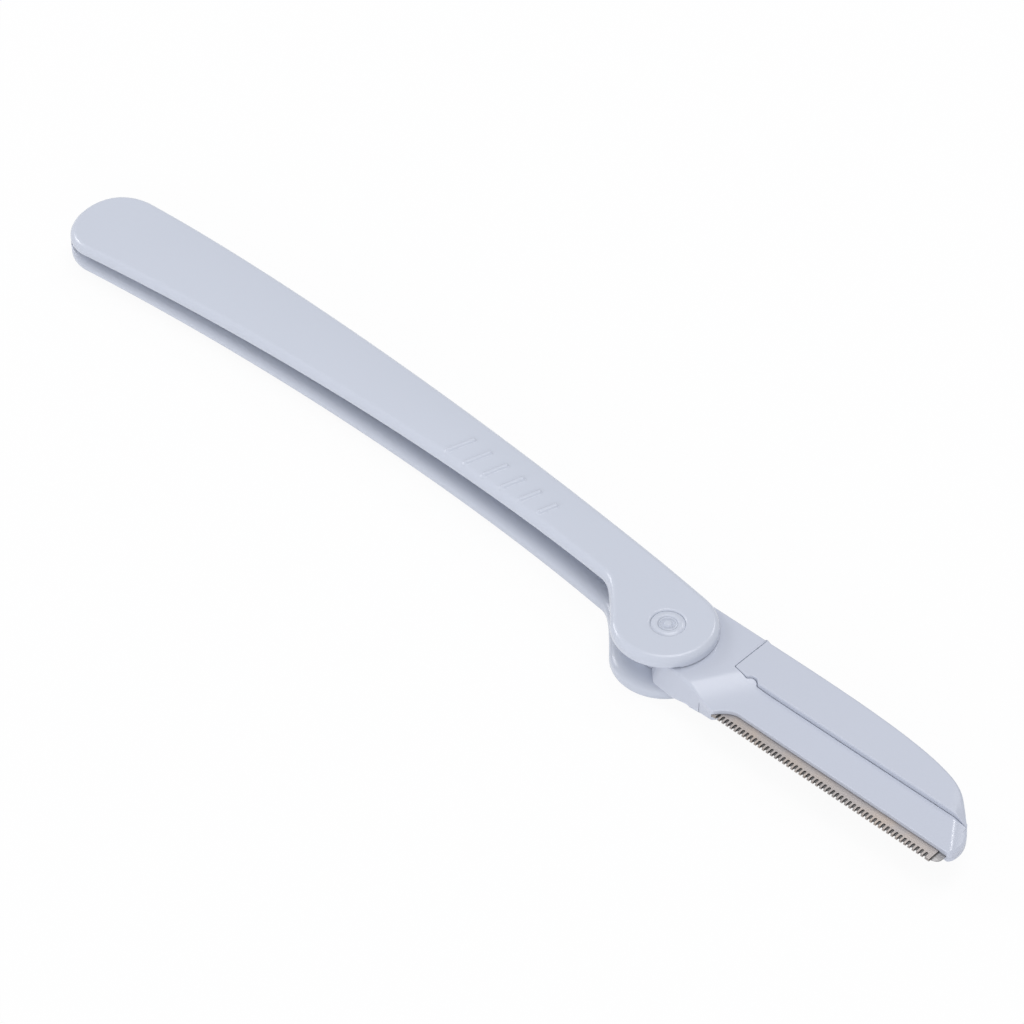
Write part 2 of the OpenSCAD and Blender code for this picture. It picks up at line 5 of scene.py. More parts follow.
import bmesh
import bpy
import numpy as np
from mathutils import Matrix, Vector


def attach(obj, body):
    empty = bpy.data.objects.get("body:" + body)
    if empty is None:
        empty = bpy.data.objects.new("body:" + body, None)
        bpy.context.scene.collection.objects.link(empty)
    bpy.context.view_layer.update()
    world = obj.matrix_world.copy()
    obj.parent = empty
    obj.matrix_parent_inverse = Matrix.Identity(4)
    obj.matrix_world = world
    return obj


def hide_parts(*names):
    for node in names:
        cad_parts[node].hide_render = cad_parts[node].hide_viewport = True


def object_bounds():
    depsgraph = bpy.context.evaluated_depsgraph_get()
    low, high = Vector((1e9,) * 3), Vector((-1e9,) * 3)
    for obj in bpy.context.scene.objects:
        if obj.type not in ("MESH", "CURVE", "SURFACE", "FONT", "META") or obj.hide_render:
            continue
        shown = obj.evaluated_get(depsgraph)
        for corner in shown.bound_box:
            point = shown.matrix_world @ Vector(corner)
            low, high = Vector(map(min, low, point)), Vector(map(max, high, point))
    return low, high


bl_info = {
    "name": "Eyebrow razor",
    "version": (1, 0, 0),
    "blender": (4, 5, 0),
    "location": "3D View > Sidebar > Razor",
    "description": "Builds the surfaces, finishes and stage of a folding eyebrow razor",
    "category": "Object",
}

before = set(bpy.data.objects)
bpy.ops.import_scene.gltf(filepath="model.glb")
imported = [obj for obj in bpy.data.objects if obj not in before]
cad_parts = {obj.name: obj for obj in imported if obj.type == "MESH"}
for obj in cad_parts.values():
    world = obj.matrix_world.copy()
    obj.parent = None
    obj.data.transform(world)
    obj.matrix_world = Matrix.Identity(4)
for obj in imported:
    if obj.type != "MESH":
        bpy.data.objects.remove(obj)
CAD_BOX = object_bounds()
MM = 0.001


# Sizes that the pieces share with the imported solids, in millimetres and degrees

HANDLE_LEN, HANDLE_RISE, HANDLE_T = 110.2, 13.5, 6.8
FRONT_TAPER, BACK_TAPER = 2.0, 1.1
WALL_T, BACK_WALL_T, TAIL_WALL_T, SPINE_T = 1.45, 2.0, 1.25, 1.3
EAR_R, EAR_CENTRE = 6.5, np.array([-0.4745, 0.0195])
TAPER_X, SLOT_TAPER_X, CROWN_RUN, WALL_END_X = 7.4, 13.0, 26.0, 0.5417
SPINE_TANGENT, NECK_TANGENT = 82.0, -136.0
SPINE_POINTS = [[-0.345, 0.88], [-0.71, 1.06], [-0.944, 0.965]]
TAIL_TOP_POINTS = [[-0.979, 0.95], [-1, 0.78], [-1, 0.52]]
TAIL_LOW_POINTS = [[-0.978, 0], [-1, 0.25]]
BELLY_POINTS = [[-0.11, 0.08], [-0.364, 0.32], [-0.68, 0.265], [-0.942, 0.004]]
NECK_POINTS = [[-0.088, 0.044], [-0.096, 0.076]]
SPINE_NECK_SHARE = 0.12
RIB_COUNT, RIB_FIRST, RIB_PITCH = 6, 24.2, 3.2
RIB_LEN, RIB_GROW, RIB_W, RIB_LEAN = 3.15, 0.25, 1.0, 71.0
SLEEVE_D, FLANGE_D, FLANGE_T, PIN_D, DOT_D = 3.2, 4.2, 0.5, 2.3, 0.9
RIVET_Z1, RUN_GAP, FIT_GAP = 6.76, 0.05, 0.01

ARM_Z0, ARM_Z1, ARM_LEN, ARM_LOW_Y, HUB_R = 2.1, 5.25, 9.4, -4.9725, 3.5
HEAD_LEN, HEAD_RISE, HEAD_EDGE_R = 45.8, 7.1, 0.4
SHOULDER_X, SHOULDER_R = 0.6417, 0.6
HEEL_LOW = [[0.7475, -3.51, 0.8], [2.5025, -5.265, 1.0], [5.525, -5.525, 3.0], [7.735, -5.135, 3.0]]
HEEL_TOP = [[0.7475, -3.25, 0.8], [3.055, -4.16, 1.0], [5.135, -4.42, 3.0], [7.735, -4.68, 3.0]]
SPINE_EDGE_POINTS = [[0.51, 1], [0.83, 1], [0.908, 0.507]]
TIP_EDGE_POINTS = [[0.9606, 0.186], [1, -0.02], [1, -0.33]]
TIP_CORNER_POINTS = [[1, -0.42], [0.998, -0.5], [0.988, -0.54]]
STEEL_CORNER_POINTS = [[0, 0], [0.3, 0.3], [0.55, 0.8], [1.3, 1]]
SEAM_Y, SEAM_LOW_Y, SEAM_GAP = 1.2, 0.9, 0.06
KEY_X, KEY_Y, KEY_R = 12.35, 0.7125, 0.75
PLATE_Z1, BACK_Z0, KEY_Z0, PLATE_LAP = 4.62, 3.08, 3.355, 0.5
BLADE_X0, BLADE_X1, BLADE_Y1, GUARD_X1, GUARD_Y1 = 11.9, 45.1, -1.3, 44.1, -3.1167
BLADE_Z0, BLADE_Z1, GUARD_Z0, GUARD_Z1 = 3.75, 3.95, 3.64, 4.06
EDGE_DROP, SHOW_H, PLATE_Y = 5.65, 1.85, -3.8
SCOOP_PLACE, SCOOP_HEADING = (8.836, -1.598), -29.7
FOLD_PLACE, FOLD_HEADING, TIP_SLOPE = (42.892, 0.199), 33.7, 17.0
PEG_D, PEG_X, PEG_Y = 1.2, (17.212, 39.788), -2.2083
PEG_DEPTH, POCKET_GAP = 0.275, 0.05


# Sizes and rows of the fine forms that only the surfaces have, in millimetres and shares

# Steps round an ear, down a neck and along a side, and those left open round the tail's corner
EAR_STEPS, NECK_STEPS, SIDE_STEPS, SLOT_OPEN_STEPS = 44, 24, 150, 20
# Steps round the rivet, the hub and the pegs
RIVET_STEPS, HUB_STEPS, PEG_STEPS = 128, 96, 40
# Fade of the crown at the tail: its length, and how far from the end
CROWN_FADE, CROWN_END = 12.0, 1.0
# Rounding of the slot's front rim, and the fade of both rims: its length, and the share left
FRONT_MOUTH, MOUTH_FADE, MOUTH_LEAST = 0.2, 6.0, 0.02
# Reach of a rounding strip out of the slot and past its face
MOUTH_OUT, MOUTH_PAST = 0.7, 0.5
# Place of the ribs as shares of the rise
RIB_RISE, RIB_RISE_GROW = 0.22, 0.008
# Ends of a rib's flat top, slope and foot as shares of its half width, its dip, and its root
RIB_TOP, RIB_SLOPE, RIB_FOOT, RIB_DIP, RIB_ROOT = 0.2, 0.9, 1.3, 0.5, 0.3
# Width and fall of the bore's front lip
LIP_W, LIP_FALL = 0.3, 0.15
# Sleeve's front end: width of its outer and its inner slope, and their fall
RING_OUT, RING_IN, RING_FALL = 0.42, 0.14, 0.16
# Pin's front end: drop below the sleeve's, depth of its dish and rise of its dot; and radii of the
# dish and of the dot's top, as shares of the shank's and of the dot's
PIN_DROP, DISH_DEPTH, DOT_RISE = 0.1, 0.2, 0.08
DISH_RIM, DISH_OUT, DISH_IN, DOT_TOP = 0.87, 0.75, 0.55, 0.9
# Roundings of the arm into the scoop and of the plate over the fold, and the bead's width
SCOOP_SOFT, FOLD_SOFT, BEAD_W = 0.12, 0.16, 0.4
# Bend of the cover's front, how far before the fold it starts, and bend of its back
COVER_BEND, COVER_BEND_FROM, BACK_BEND = 0.12, 0.7, 0.06
# Length and height over which the cover comes down to the clamp plate
MEET_RUN, MEET_H = 1.7, 1.1
# Where the seam's gap starts to close beyond the fold, its length, and how far it closes
CLOSE_FROM, CLOSE_RUN, CLOSE_SHARE = 0.2, 1.4, 0.96
# Rounding of both mouldings along the seam: place, and share of the seam lip
CARRIER_LIP = np.array([[FOLD_PLACE[0], 1], [FOLD_PLACE[0] + 1.5, 0.05]])
COVER_LIP = np.array([
    [ARM_LEN + 0.3, 1], [ARM_LEN + 0.8, 2.2], [KEY_X - 1, 2.2], [KEY_X - 0.9, 1],
    [KEY_X + 0.9, 1], [KEY_X + 1, 2.2], [FOLD_PLACE[0], 2.2], [FOLD_PLACE[0] + 1.5, 0.05]])
# Cover: share of the seam's rounding at its back, most that roundings take of its width at the
# seam and at the spine, and length of its start
COVER_BACK, SEAM_MOST, SPINE_MOST, COVER_START = 0.3, 0.2, 0.4, 3
# How far lines are eased at their corners
EASE = 0.12
# Roundings at the steel, at the tip and at the blade, and of the plate behind the blade
STEEL_EDGE_R, TIP_EDGE_R, BLADE_EDGE_R, BACK_EDGE_R, BACK_TOP_R = 0.12, 0.3, 0.05, 0.12, 0.03
# Rows round the arm, down the upright seam and round the tip, and closer ones at the key and
# at the start of the steel
ARM_ROWS, RISE_ROWS, TIP_ROWS = 110, 48, 16
CARRIER_KEY, COVER_KEY = np.linspace(11.5, 13.2, 44), np.linspace(11.4, 13.3, 48)
STEEL_START = np.linspace(BLADE_X0 - 0.3, BLADE_X0 + 2.6, 50)
# Where the rows fan out below the arm's end, and where the seam's own rows start
FAN_X, SEAM_ROWS_X = ARM_LEN - 1.4, ARM_LEN - 0.12
# Reach of the cuts past the pieces, and inset of the hub's faces from the arm's
PAST_X, PAST_Y, PAST_Z, HUB_INSET = 50, 13, 9, 0.002
# Least angle of a sharp edge, in degrees
SHARP_ANGLE = 28
# Stain and roughness of the guard's steel and of the blade's
GUARD_STAIN, GUARD_ROUGHNESS = (0.46, 0.38, 0.31), 0.32
BLADE_STAIN, BLADE_ROUGHNESS = (0.34, 0.33, 0.33), 0.28
# Painted shade on the blade, dark under the guard and fading out just beyond its end: where the
# fade starts and ends past the guard's end, and the share of colour left in the shade
SHADE_FROM, SHADE_TO, SHADE_LEVEL = 0.08, 0.3, 0.3
# Cover's plastic: share of the head's colour, and roughness
COVER_LEVEL, COVER_ROUGHNESS = 0.975, 0.42


# Finishes

COLOUR, NUMBER = "NodeSocketColor", "NodeSocketFloat"


def fill(tree, node, inputs):
    """Gives each named input of a node its value, or links it where that is an output."""
    for key, value in inputs.items():
        if isinstance(value, bpy.types.NodeSocket):
            tree.links.new(value, node.inputs[key])
        else:
            node.inputs[key].default_value = value


def add(tree, kind, inputs, **settings):
    """Adds a shader node with its settings and its inputs to a tree."""
    made = tree.nodes.new("ShaderNode" + kind)
    for key, value in settings.items():
        setattr(made, key, value)
    fill(tree, made, inputs)
    return made


def first(tree, kind, inputs, **settings):
    """First output of a node that is added to a tree."""
    return add(tree, kind, inputs, **settings).outputs[0]


def new_group(name, inputs):
    """Node group with inputs (name, kind, default) that puts out colour, roughness and height."""
    group = bpy.data.node_groups.new(name, "ShaderNodeTree")
    for label, kind, default in inputs:
        made = group.interface.new_socket(name=label, in_out="INPUT", socket_type=kind)
        made.default_value = default
    for label, kind in (("Color", COLOUR), ("Roughness", NUMBER), ("Height", NUMBER)):
        group.interface.new_socket(name=label, in_out="OUTPUT", socket_type=kind)
    return group, group.nodes.new("NodeGroupInput").outputs, group.nodes.new("NodeGroupOutput")


def grain_group():
    """Node group for moulded plastic: a colour that drifts slowly over the piece, a roughness that
    drifts with it, and a height of two noises, one wide and one very fine."""
    group, given, result = new_group("MouldedGrain", (
        ("Color", COLOUR, (0.7, 0.74, 0.82, 1)), ("Drift", NUMBER, 0.03),
        ("Roughness", NUMBER, 0.3)))
    place = add(group, "TexCoord", {}).outputs["Object"]
    wide = first(group, "TexNoise", {"Vector": place, "Scale": 60, "Detail": 2})
    fine = first(group, "TexNoise", {"Vector": place, "Scale": 1800, "Detail": 3})
    swing = first(group, "MapRange", {"Value": wide, "To Min": -1, "To Max": 1})
    drift = first(group, "Math", {0: swing, 1: given["Drift"], 2: 1}, operation="MULTIPLY_ADD")
    tint = first(group, "VectorMath", {0: given["Color"], "Scale": drift}, operation="SCALE")
    rough = first(group, "Math", {0: drift, 1: given["Roughness"]}, operation="MULTIPLY")
    height = first(group, "Math", {0: fine, 1: 0.25, 2: wide}, operation="MULTIPLY_ADD")
    fill(group, result, {"Color": tint, "Roughness": rough, "Height": height})
    return group


def streak_group():
    """Node group for rolled steel: fine streaks along the sheet, from a noise stretched along X,
    and faint warm stains from a wide noise."""
    group, given, result = new_group("RolledSteel", (
        ("Color", COLOUR, (0.5, 0.48, 0.46, 1)), ("Stain", COLOUR, (0.5, 0.42, 0.34, 1)),
        ("Roughness", NUMBER, 0.35)))
    place = add(group, "TexCoord", {}).outputs["Object"]
    along = first(group, "Mapping", {"Vector": place, "Scale": (300, 9000, 9000)})
    streaks = first(group, "TexNoise", {"Vector": along, "Scale": 1, "Detail": 3})
    patches = first(group, "TexNoise", {"Vector": place, "Scale": 260, "Detail": 2})
    edge = first(group, "MapRange", {
        "Value": patches, "From Min": 0.45, "From Max": 0.75, "To Max": 0.6})
    mix = add(group, "Mix", {0: edge, 6: given["Color"], 7: given["Stain"]}, data_type="RGBA")
    rough = first(group, "Math", {0: streaks, 1: 0.18, 2: given["Roughness"]},
                  operation="MULTIPLY_ADD")
    fill(group, result, {"Color": mix.outputs[2], "Roughness": rough, "Height": streaks})
    return group


GROUPS = {"MouldedGrain": grain_group, "RolledSteel": streak_group}


def finish_material(name, group_name, inputs, shader_inputs, bump, edge):
    """Material of one shared group and the shader that it feeds; bump is (strength, distance), and
    edge is the radius by which the shading rounds sharp edges."""
    made = bpy.data.materials.get(name)
    if made:
        return made
    made = bpy.data.materials.new(name)
    made.use_nodes = True
    tree = made.node_tree
    shared = bpy.data.node_groups.get(group_name) or GROUPS[group_name]()
    pattern = add(tree, "Group", {}, node_tree=shared)
    fill(tree, pattern, inputs)
    soft = add(tree, "Bevel", {"Radius": edge}, samples=6)
    relief = add(tree, "Bump", {
        "Strength": bump[0], "Distance": bump[1],
        "Height": pattern.outputs["Height"], "Normal": soft.outputs["Normal"]})
    fill(tree, tree.nodes["Principled BSDF"], {
        **shader_inputs, "Base Color": pattern.outputs["Color"],
        "Roughness": pattern.outputs["Roughness"], "Normal": relief.outputs["Normal"]})
    return made


def plastic(name, colour, roughness=0.24):
    return finish_material(
        name, "MouldedGrain",
        {"Color": (*colour, 1), "Drift": 0.012, "Roughness": roughness},
        {"IOR": 1.49}, bump=(0.05, 0.00002), edge=0.00006)


def steel(name, colour, stain, roughness):
    return finish_material(
        name, "RolledSteel",
        {"Color": (*colour, 1), "Stain": (*stain, 1), "Roughness": roughness},
        {"Metallic": 0.85}, bump=(0.15, 0.00001), edge=0.00002)


def blade_steel(name, colour, stain, roughness):
    """Rolled steel with painted shade: its colour is darkened under the guard and up to a little
    beyond the guard's end, where the guard shades the blade.
    """
    made = steel(name, colour, stain, roughness)
    tree = made.node_tree
    place = add(tree, "TexCoord", {}).outputs["Object"]
    along = first(tree, "SeparateXYZ", {"Vector": place})
    # Painted shade: share of the blade's colour left, low under the guard and full a little past
    # its end
    painted_shade_share = first(tree, "MapRange", {
        "Value": along, "From Min": (GUARD_X1 + SHADE_FROM) * MM,
        "From Max": (GUARD_X1 + SHADE_TO) * MM, "To Min": SHADE_LEVEL,
    }, interpolation_type="SMOOTHSTEP")
    shaded = first(tree, "VectorMath", {0: tree.nodes["Group"].outputs["Color"], "Scale": painted_shade_share},
                   operation="SCALE")
    fill(tree, tree.nodes["Principled BSDF"], {"Base Color": shaded})
    return made


def dress(obj, material):
    obj.data.materials.clear()
    obj.data.materials.append(material)


def handle_plastic():
    return plastic("HandlePlastic", sizes().plastic_colour)


def a_colour(name, description, default):
    return bpy.props.FloatVectorProperty(
        name=name, description=description, default=default, subtype="COLOR", min=0, max=1)


def a_length(name, description, default, least, most=10.0):
    return bpy.props.FloatProperty(
        name=name, description=description, default=default, min=least, max=most, unit="LENGTH")


def an_angle(name, description, degrees):
    return bpy.props.FloatProperty(
        name=name, description=description, default=math.radians(degrees), subtype="ANGLE")


class RazorSizes(bpy.types.PropertyGroup):
    """Sizes and colours that a user would change."""

    plastic_colour: a_colour("Plastic", "Colour of the handle and the rivet", (0.545, 0.582, 0.665))
    head_colour: a_colour(
        "Head plastic", "Colour of the two mouldings of the head", (0.524, 0.558, 0.645))
    steel_colour: a_colour("Guard steel", "Colour of the comb guard", (0.375, 0.35, 0.342))
    blade_colour: a_colour("Blade steel", "Colour of the blade", (0.306, 0.302, 0.306))
    front_round: a_length(
        "Front rounding", "Radius of the handle's front edges", 0.0009, 0.0002, 0.0012)
    back_round: a_length(
        "Back rounding", "Radius of the handle's back edges", 0.0004, 0.0001, 0.0008)
    mouth_round: a_length(
        "Mouth rounding", "Depth of the rounding of the slot's back rim", 0.0009, 0.0001, 0.0011)
    mouth_run: a_length(
        "Mouth run", "Width of the rounding of the slot's back rim", 0.0019, 0.0001, 0.0025)
    crown: a_length(
        "Crown", "Swell of the handle's front face between its edges", 0.0003, 0, 0.0006)
    rib_height: a_length(
        "Rib height", "How far the grip ribs stand out of the face", 0.00026, 0, 0.0004)
    seam_lip: a_length(
        "Seam lip", "Rounding of the two mouldings along their seam", 0.0001, 0.00002, 0.0002)
    fold_bead: a_length(
        "Fold bead", "Height of the low bead along the fold at the tip", 0.00005, 0, 0.00015)
    scoop_run: a_length(
        "Scoop length", "Distance over which the scoop comes down to the clamp plate",
        0.0048, 0.002, 0.008)
    camera_distance: a_length(
        "Camera distance", "From the camera to the point that it looks at", 0.450092, 0.1)
    camera_azimuth: an_angle("Camera azimuth", "Angle of the camera round the razor", 43.6776)
    camera_elevation: an_angle("Camera elevation", "Angle of the camera above the floor", 43.3)
    camera_lens: bpy.props.FloatProperty(
        name="Camera lens", description="Focal length of the lens, in millimetres",
        default=130.576, min=10)
    lamp_level: bpy.props.FloatProperty(
        name="Lamp level", description="Power of the soft lamps against their own level",
        default=1, min=0)


def sizes():
    return bpy.context.scene.razor_sizes


# Lines in the plane

def curve(points, n, t0=0.0, t1=1.0):
    """Cubic curve in n steps: with u = 1 - t, it weighs its points by u cubed, 3 u u t, 3 u t t and
    t cubed."""
    p = np.asarray(points, float)
    t = np.linspace(t0, t1, n + 1)[:, None]
    u = 1 - t
    return u ** 3 * p[0] + 3 * u * u * t * p[1] + 3 * u * t * t * p[2] + t ** 3 * p[3]


def arc(centre, r, a0, a1, n):
    """Arc in n steps: centre plus r times the cosine and sine of an angle in degrees."""
    a = np.radians(np.linspace(a0, a1, n + 1))
    return np.asarray(centre) + r * np.stack([np.cos(a), np.sin(a)], 1)


def line(*corners, step=0.5):
    """Straight lines through corners, divided into steps no longer than the one given."""
    parts = []
    for p, q in zip(corners[:-1], corners[1:]):
        p, q = np.asarray(p, float), np.asarray(q, float)
        n = max(int(np.ceil(np.linalg.norm(q - p) / step)), 1)
        parts.append(p + (q - p) * np.linspace(0, 1, n + 1)[:-1, None])
    return np.concatenate([*parts, [corners[-1]]])


def at_shares(path, share):
    """Points of a path at shares of its own length."""
    run = np.concatenate([[0], np.cumsum(np.linalg.norm(np.diff(path, axis=0), axis=1))])
    at = share * run[-1]
    return np.stack([np.interp(at, run, path[:, 0]), np.interp(at, run, path[:, 1])], 1)


def at_x(path, x):
    """Points of a path that runs along X at each value of x."""
    return np.stack([x, np.interp(x, path[:, 0], path[:, 1])], 1)


def resampled(path, n):
    """The same path in n equal steps of its own length."""
    return at_shares(path, np.linspace(0, 1, n + 1))


def eased(path, reach, step=0.03):
    """Path with its corners rounded: in equal steps, each point becomes the mean of the points
    within reach of it on both sides, twice. Beyond its ends the path goes on turned about them, so
    that they stay."""
    length = np.linalg.norm(np.diff(path, axis=0), axis=1).sum()
    p = resampled(path, int(length / step))
    k = max(int(reach / step), 1)
    window = np.ones(2 * k + 1) / (2 * k + 1)
    for _ in range(2):
        longer = np.concatenate([2 * p[0] - p[k:0:-1], p, 2 * p[-1] - p[-2:-k - 2:-1]])
        p = np.stack([np.convolve(longer[:, i], window, "valid") for i in (0, 1)], 1)
    return p


def evened(*parts):
    """Rows of stations together, sorted and then evened: each but the two ends becomes the mean of
    itself and its neighbours, six times."""
    x = np.sort(np.concatenate(parts))
    for _ in range(6):
        x[1:-1] = (x[:-2] + x[1:-1] + x[2:]) / 3
    return x


def shares(x):
    """Values that grow, as shares of the way from the first to the last."""
    return (x - x[0]) / (x[-1] - x[0])


def looped(a, b):
    """Two side lines that share their ends, or values along them, as one closed loop."""
    return np.concatenate([a, b[-2:0:-1]])


def joined(*paths):
    """Paths end to end; the first point of each later one repeats the last of the one before."""
    return np.concatenate([paths[0], *[p[1:] for p in paths[1:]]])


def rounded(corners, n):
    """Open path through corners [x, y, r], each inner corner replaced by an arc of radius r that
    touches both of its sides."""
    parts = [[corners[0][:2]]]
    for before, (x, y, r), after in zip(corners[:-2], corners[1:-1], corners[2:]):
        b = np.array([x, y], float)
        u, v = np.array(before[:2]) - b, np.array(after[:2]) - b
        u, v = u / np.linalg.norm(u), v / np.linalg.norm(v)
        half = math.acos(np.clip(u @ v, -1, 1)) / 2
        centre = b + (u + v) / np.linalg.norm(u + v) * r / math.sin(half)
        start = b + u * r / math.tan(half) - centre
        turn = (-1 if u[0] * v[1] - u[1] * v[0] > 0 else 1) * (180 - 2 * math.degrees(half))
        a0 = math.degrees(math.atan2(start[1], start[0]))
        parts.append(arc(centre, r, a0, a0 + turn, n))
    return np.concatenate([*parts, [corners[-1][:2]]])


def inset(loop, d):
    """Anticlockwise loop moved inwards: each point goes d to the left of its neighbours' chord."""
    along = np.roll(loop, -1, 0) - np.roll(loop, 1, 0)
    along /= np.linalg.norm(along, axis=1)[:, None]
    return loop + np.reshape(d, (-1, 1)) * np.stack([-along[:, 1], along[:, 0]], 1)


def smooth(t):
    """Three t squared less two t cubed, between 0 and 1."""
    t = np.clip(t, 0, 1)
    return t * t * (3 - 2 * t)


def soft_min(a, b, k):
    """The lesser of two heights, with the crease between them rounded by k at the most."""
    h = np.clip(0.5 + 0.5 * (b - a) / k, 0, 1)
    return b + (a - b) * h - k * h * (1 - h)


def falls(p, place, heading):
    """Distance of points beyond a line through a place, measured along a heading."""
    a = math.radians(heading)
    return (p[:, 0] - place[0]) * math.cos(a) + (p[:, 1] - place[1]) * math.sin(a)


# Solids

def level(z):
    return z if callable(z) else lambda p: np.full(len(p), float(z))


def bands(index):
    """Four-sided faces between each closed ring of points and the next."""
    low, high = index[:-1], index[1:]
    return np.stack([low, np.roll(low, -1, 1), np.roll(high, -1, 1), high], 2).reshape(-1, 4)


def plate(a, b, z0, z1, r0=0.0, r1=0.0, across=8, low=None, steps=6):
    """Closed plate between two side lines of equal length that share their ends; a forward and b
    backward run anticlockwise. Its walls are the loop moved inwards by r (1 - sin) and lifted by
    r (1 - cos) through a quarter turn at each edge, and each face is a grid of straight rows from
    b to a at the height z(x, y)."""
    n = len(a) - 1
    loop = looped(a, b)
    base = loop if low is None else looped(*low)
    count = len(loop)
    r0, r1 = np.broadcast_to(r0, count), np.broadcast_to(r1, count)
    z0, z1 = level(z0), level(z1)
    turns = np.linspace(0, np.pi / 2, steps + 1)
    rings = []
    for t in turns:
        p = inset(base, r0 * (1 - np.sin(t)))
        rings.append(np.column_stack([p, z0(p) + r0 * (1 - np.cos(t))]))
    for t in turns:
        p = inset(loop, r1 * (1 - np.cos(t)))
        rings.append(np.column_stack([p, z1(p) - r1 * (1 - np.sin(t))]))
    index = np.arange(len(rings) * count).reshape(len(rings), count)
    verts, faces = [np.concatenate(rings)], [bands(index)]
    s = np.linspace(0, 1, across + 1)[1:-1]
    s = 0.5 - 0.5 * np.cos(np.pi * s) if across > 2 else s
    total = len(rings) * count
    back = (count - np.arange(n + 1)) % count
    for edge, row, z, flip in ((rings[0], index[0], z0, True), (rings[-1], index[-1], z1, False)):
        upper, lower = edge[:n + 1], edge[back]
        inner = lower[1:-1, None] + (upper - lower)[1:-1, None] * s[None, :, None]
        flat = inner.reshape(-1, 3)
        flat[:, 2] = z(flat[:, :2])
        grid = np.empty((n + 1, across + 1), int)
        grid[:, 0], grid[:, -1] = row[back], row[:n + 1]
        grid[0], grid[-1] = row[0], row[n]
        grid[1:-1, 1:-1] = total + np.arange(len(flat)).reshape(n - 1, across - 1)
        total += len(flat)
        verts.append(flat)
        quads = np.stack(
            [grid[:-1, :-1], grid[:-1, 1:], grid[1:, 1:], grid[1:, :-1]], 2).reshape(-1, 4)
        faces.append(quads[:, ::-1] if flip else quads)
    return np.concatenate(verts), np.concatenate(faces)


def prism(points, z0, z1, split=None):
    """Upright walls on a closed anticlockwise outline, between the heights z0(x, y) and z1(x, y).
    Where its faces bend, they are divided at the two points of split."""
    p = np.asarray(points, float)
    n = len(p)
    verts = np.concatenate([np.column_stack([p, level(z)(p)]) for z in (z0, z1)])
    sides = bands(np.arange(2 * n).reshape(2, n)).tolist()
    if split:
        i, j = split
        halves = [list(range(i, j + 1)), list(range(j, n)) + list(range(i + 1))]
    else:
        halves = [list(range(n))]
    caps = [[k + n for k in h] for h in halves] + [h[::-1] for h in halves]
    return verts, sides + caps


def turned(profile, n, centre=(0.0, 0.0)):
    """Profile of radius and height turned about an upright axis: x = r cos, y = r sin. It runs
    upwards on its outside; where it isn't closed, its two ends lie on the axis."""
    profile = np.asarray(profile, float)
    a = np.linspace(0, 2 * np.pi, n, endpoint=False)
    rings = np.stack([
        profile[:, :1] * np.cos(a) + centre[0],
        profile[:, :1] * np.sin(a) + centre[1],
        np.repeat(profile[:, 1:], n, 1)], 2)
    index = np.arange(len(profile) * n).reshape(len(profile), n)
    if profile[0, 0] > 0:
        index = np.concatenate([index, index[:1]])
    return rings.reshape(-1, 3), bands(index)


def cylinder(z0, z1, r, n, centre=(0.0, 0.0)):
    return turned([[0, z0], [r, z0], [r, z1], [0, z1]], n, centre)


def placed(name, data):
    """Object of a mesh, a lamp or a camera, linked to the scene."""
    obj = bpy.data.objects.new(name, data)
    bpy.context.scene.collection.objects.link(obj)
    return obj


def object_of(name, *parts):
    """Mesh object of one or more (points in millimetres, faces), with repeated points merged."""
    verts, faces, base = [], [], 0
    for v, f in parts:
        f = f if isinstance(f, list) else f.tolist()
        verts.append(v)
        faces += [[k + base for k in dict.fromkeys(face)] for face in f]
        base += len(v)
    mesh = bpy.data.meshes.new(name)
    mesh.from_pydata((np.concatenate(verts) * MM).tolist(), [], faces)
    work = bmesh.new()
    work.from_mesh(mesh)
    bmesh.ops.remove_doubles(work, verts=work.verts, dist=2e-7)
    bmesh.ops.dissolve_degenerate(work, dist=1e-8, edges=work.edges)
    work.to_mesh(mesh)
    work.free()
    mesh.validate()
    return placed(name, mesh)


def remove(obj):
    mesh = obj.data
    bpy.data.objects.remove(obj)
    bpy.data.meshes.remove(mesh)


def carved(obj, parts, operation="DIFFERENCE"):
    """Cuts closed solids (points, faces) out of a piece, or adds them, and keeps the result."""
    cutters = [object_of("cutter", part) for part in parts]
    for cutter in cutters:
        step = obj.modifiers.new(cutter.name, "BOOLEAN")
        step.solver = "MANIFOLD"
        step.operation = operation
        step.object = cutter
    settle(obj)
    for cutter in cutters:
        remove(cutter)


def merged(obj, other):
    """Adds the faces of a second object to the first and removes it."""
    work = bmesh.new()
    work.from_mesh(obj.data)
    work.from_mesh(other.data)
    work.to_mesh(obj.data)
    work.free()
    remove(other)


def settle(obj):
    """Makes what the modifiers show the piece's own mesh."""
    graph = bpy.context.evaluated_depsgraph_get()
    made = bpy.data.meshes.new_from_object(obj.evaluated_get(graph))
    old = obj.data
    obj.modifiers.clear()
    obj.data = made
    made.name = old.name
    bpy.data.meshes.remove(old)


def finished(obj, node, body, material):
    """Shades a piece smooth up to an angle between faces, led by the larger faces at their edges,
    dresses it, ties it to its body and hides the CAD node that it stands for."""
    obj.data.shade_smooth()
    obj.data.set_sharp_from_angle(angle=math.radians(SHARP_ANGLE))
    lead = obj.modifiers.new("even_shading", "WEIGHTED_NORMAL")
    lead.keep_sharp = True
    settle(obj)
    dress(obj, material)
    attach(obj, body)
    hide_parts(node)


# Handle

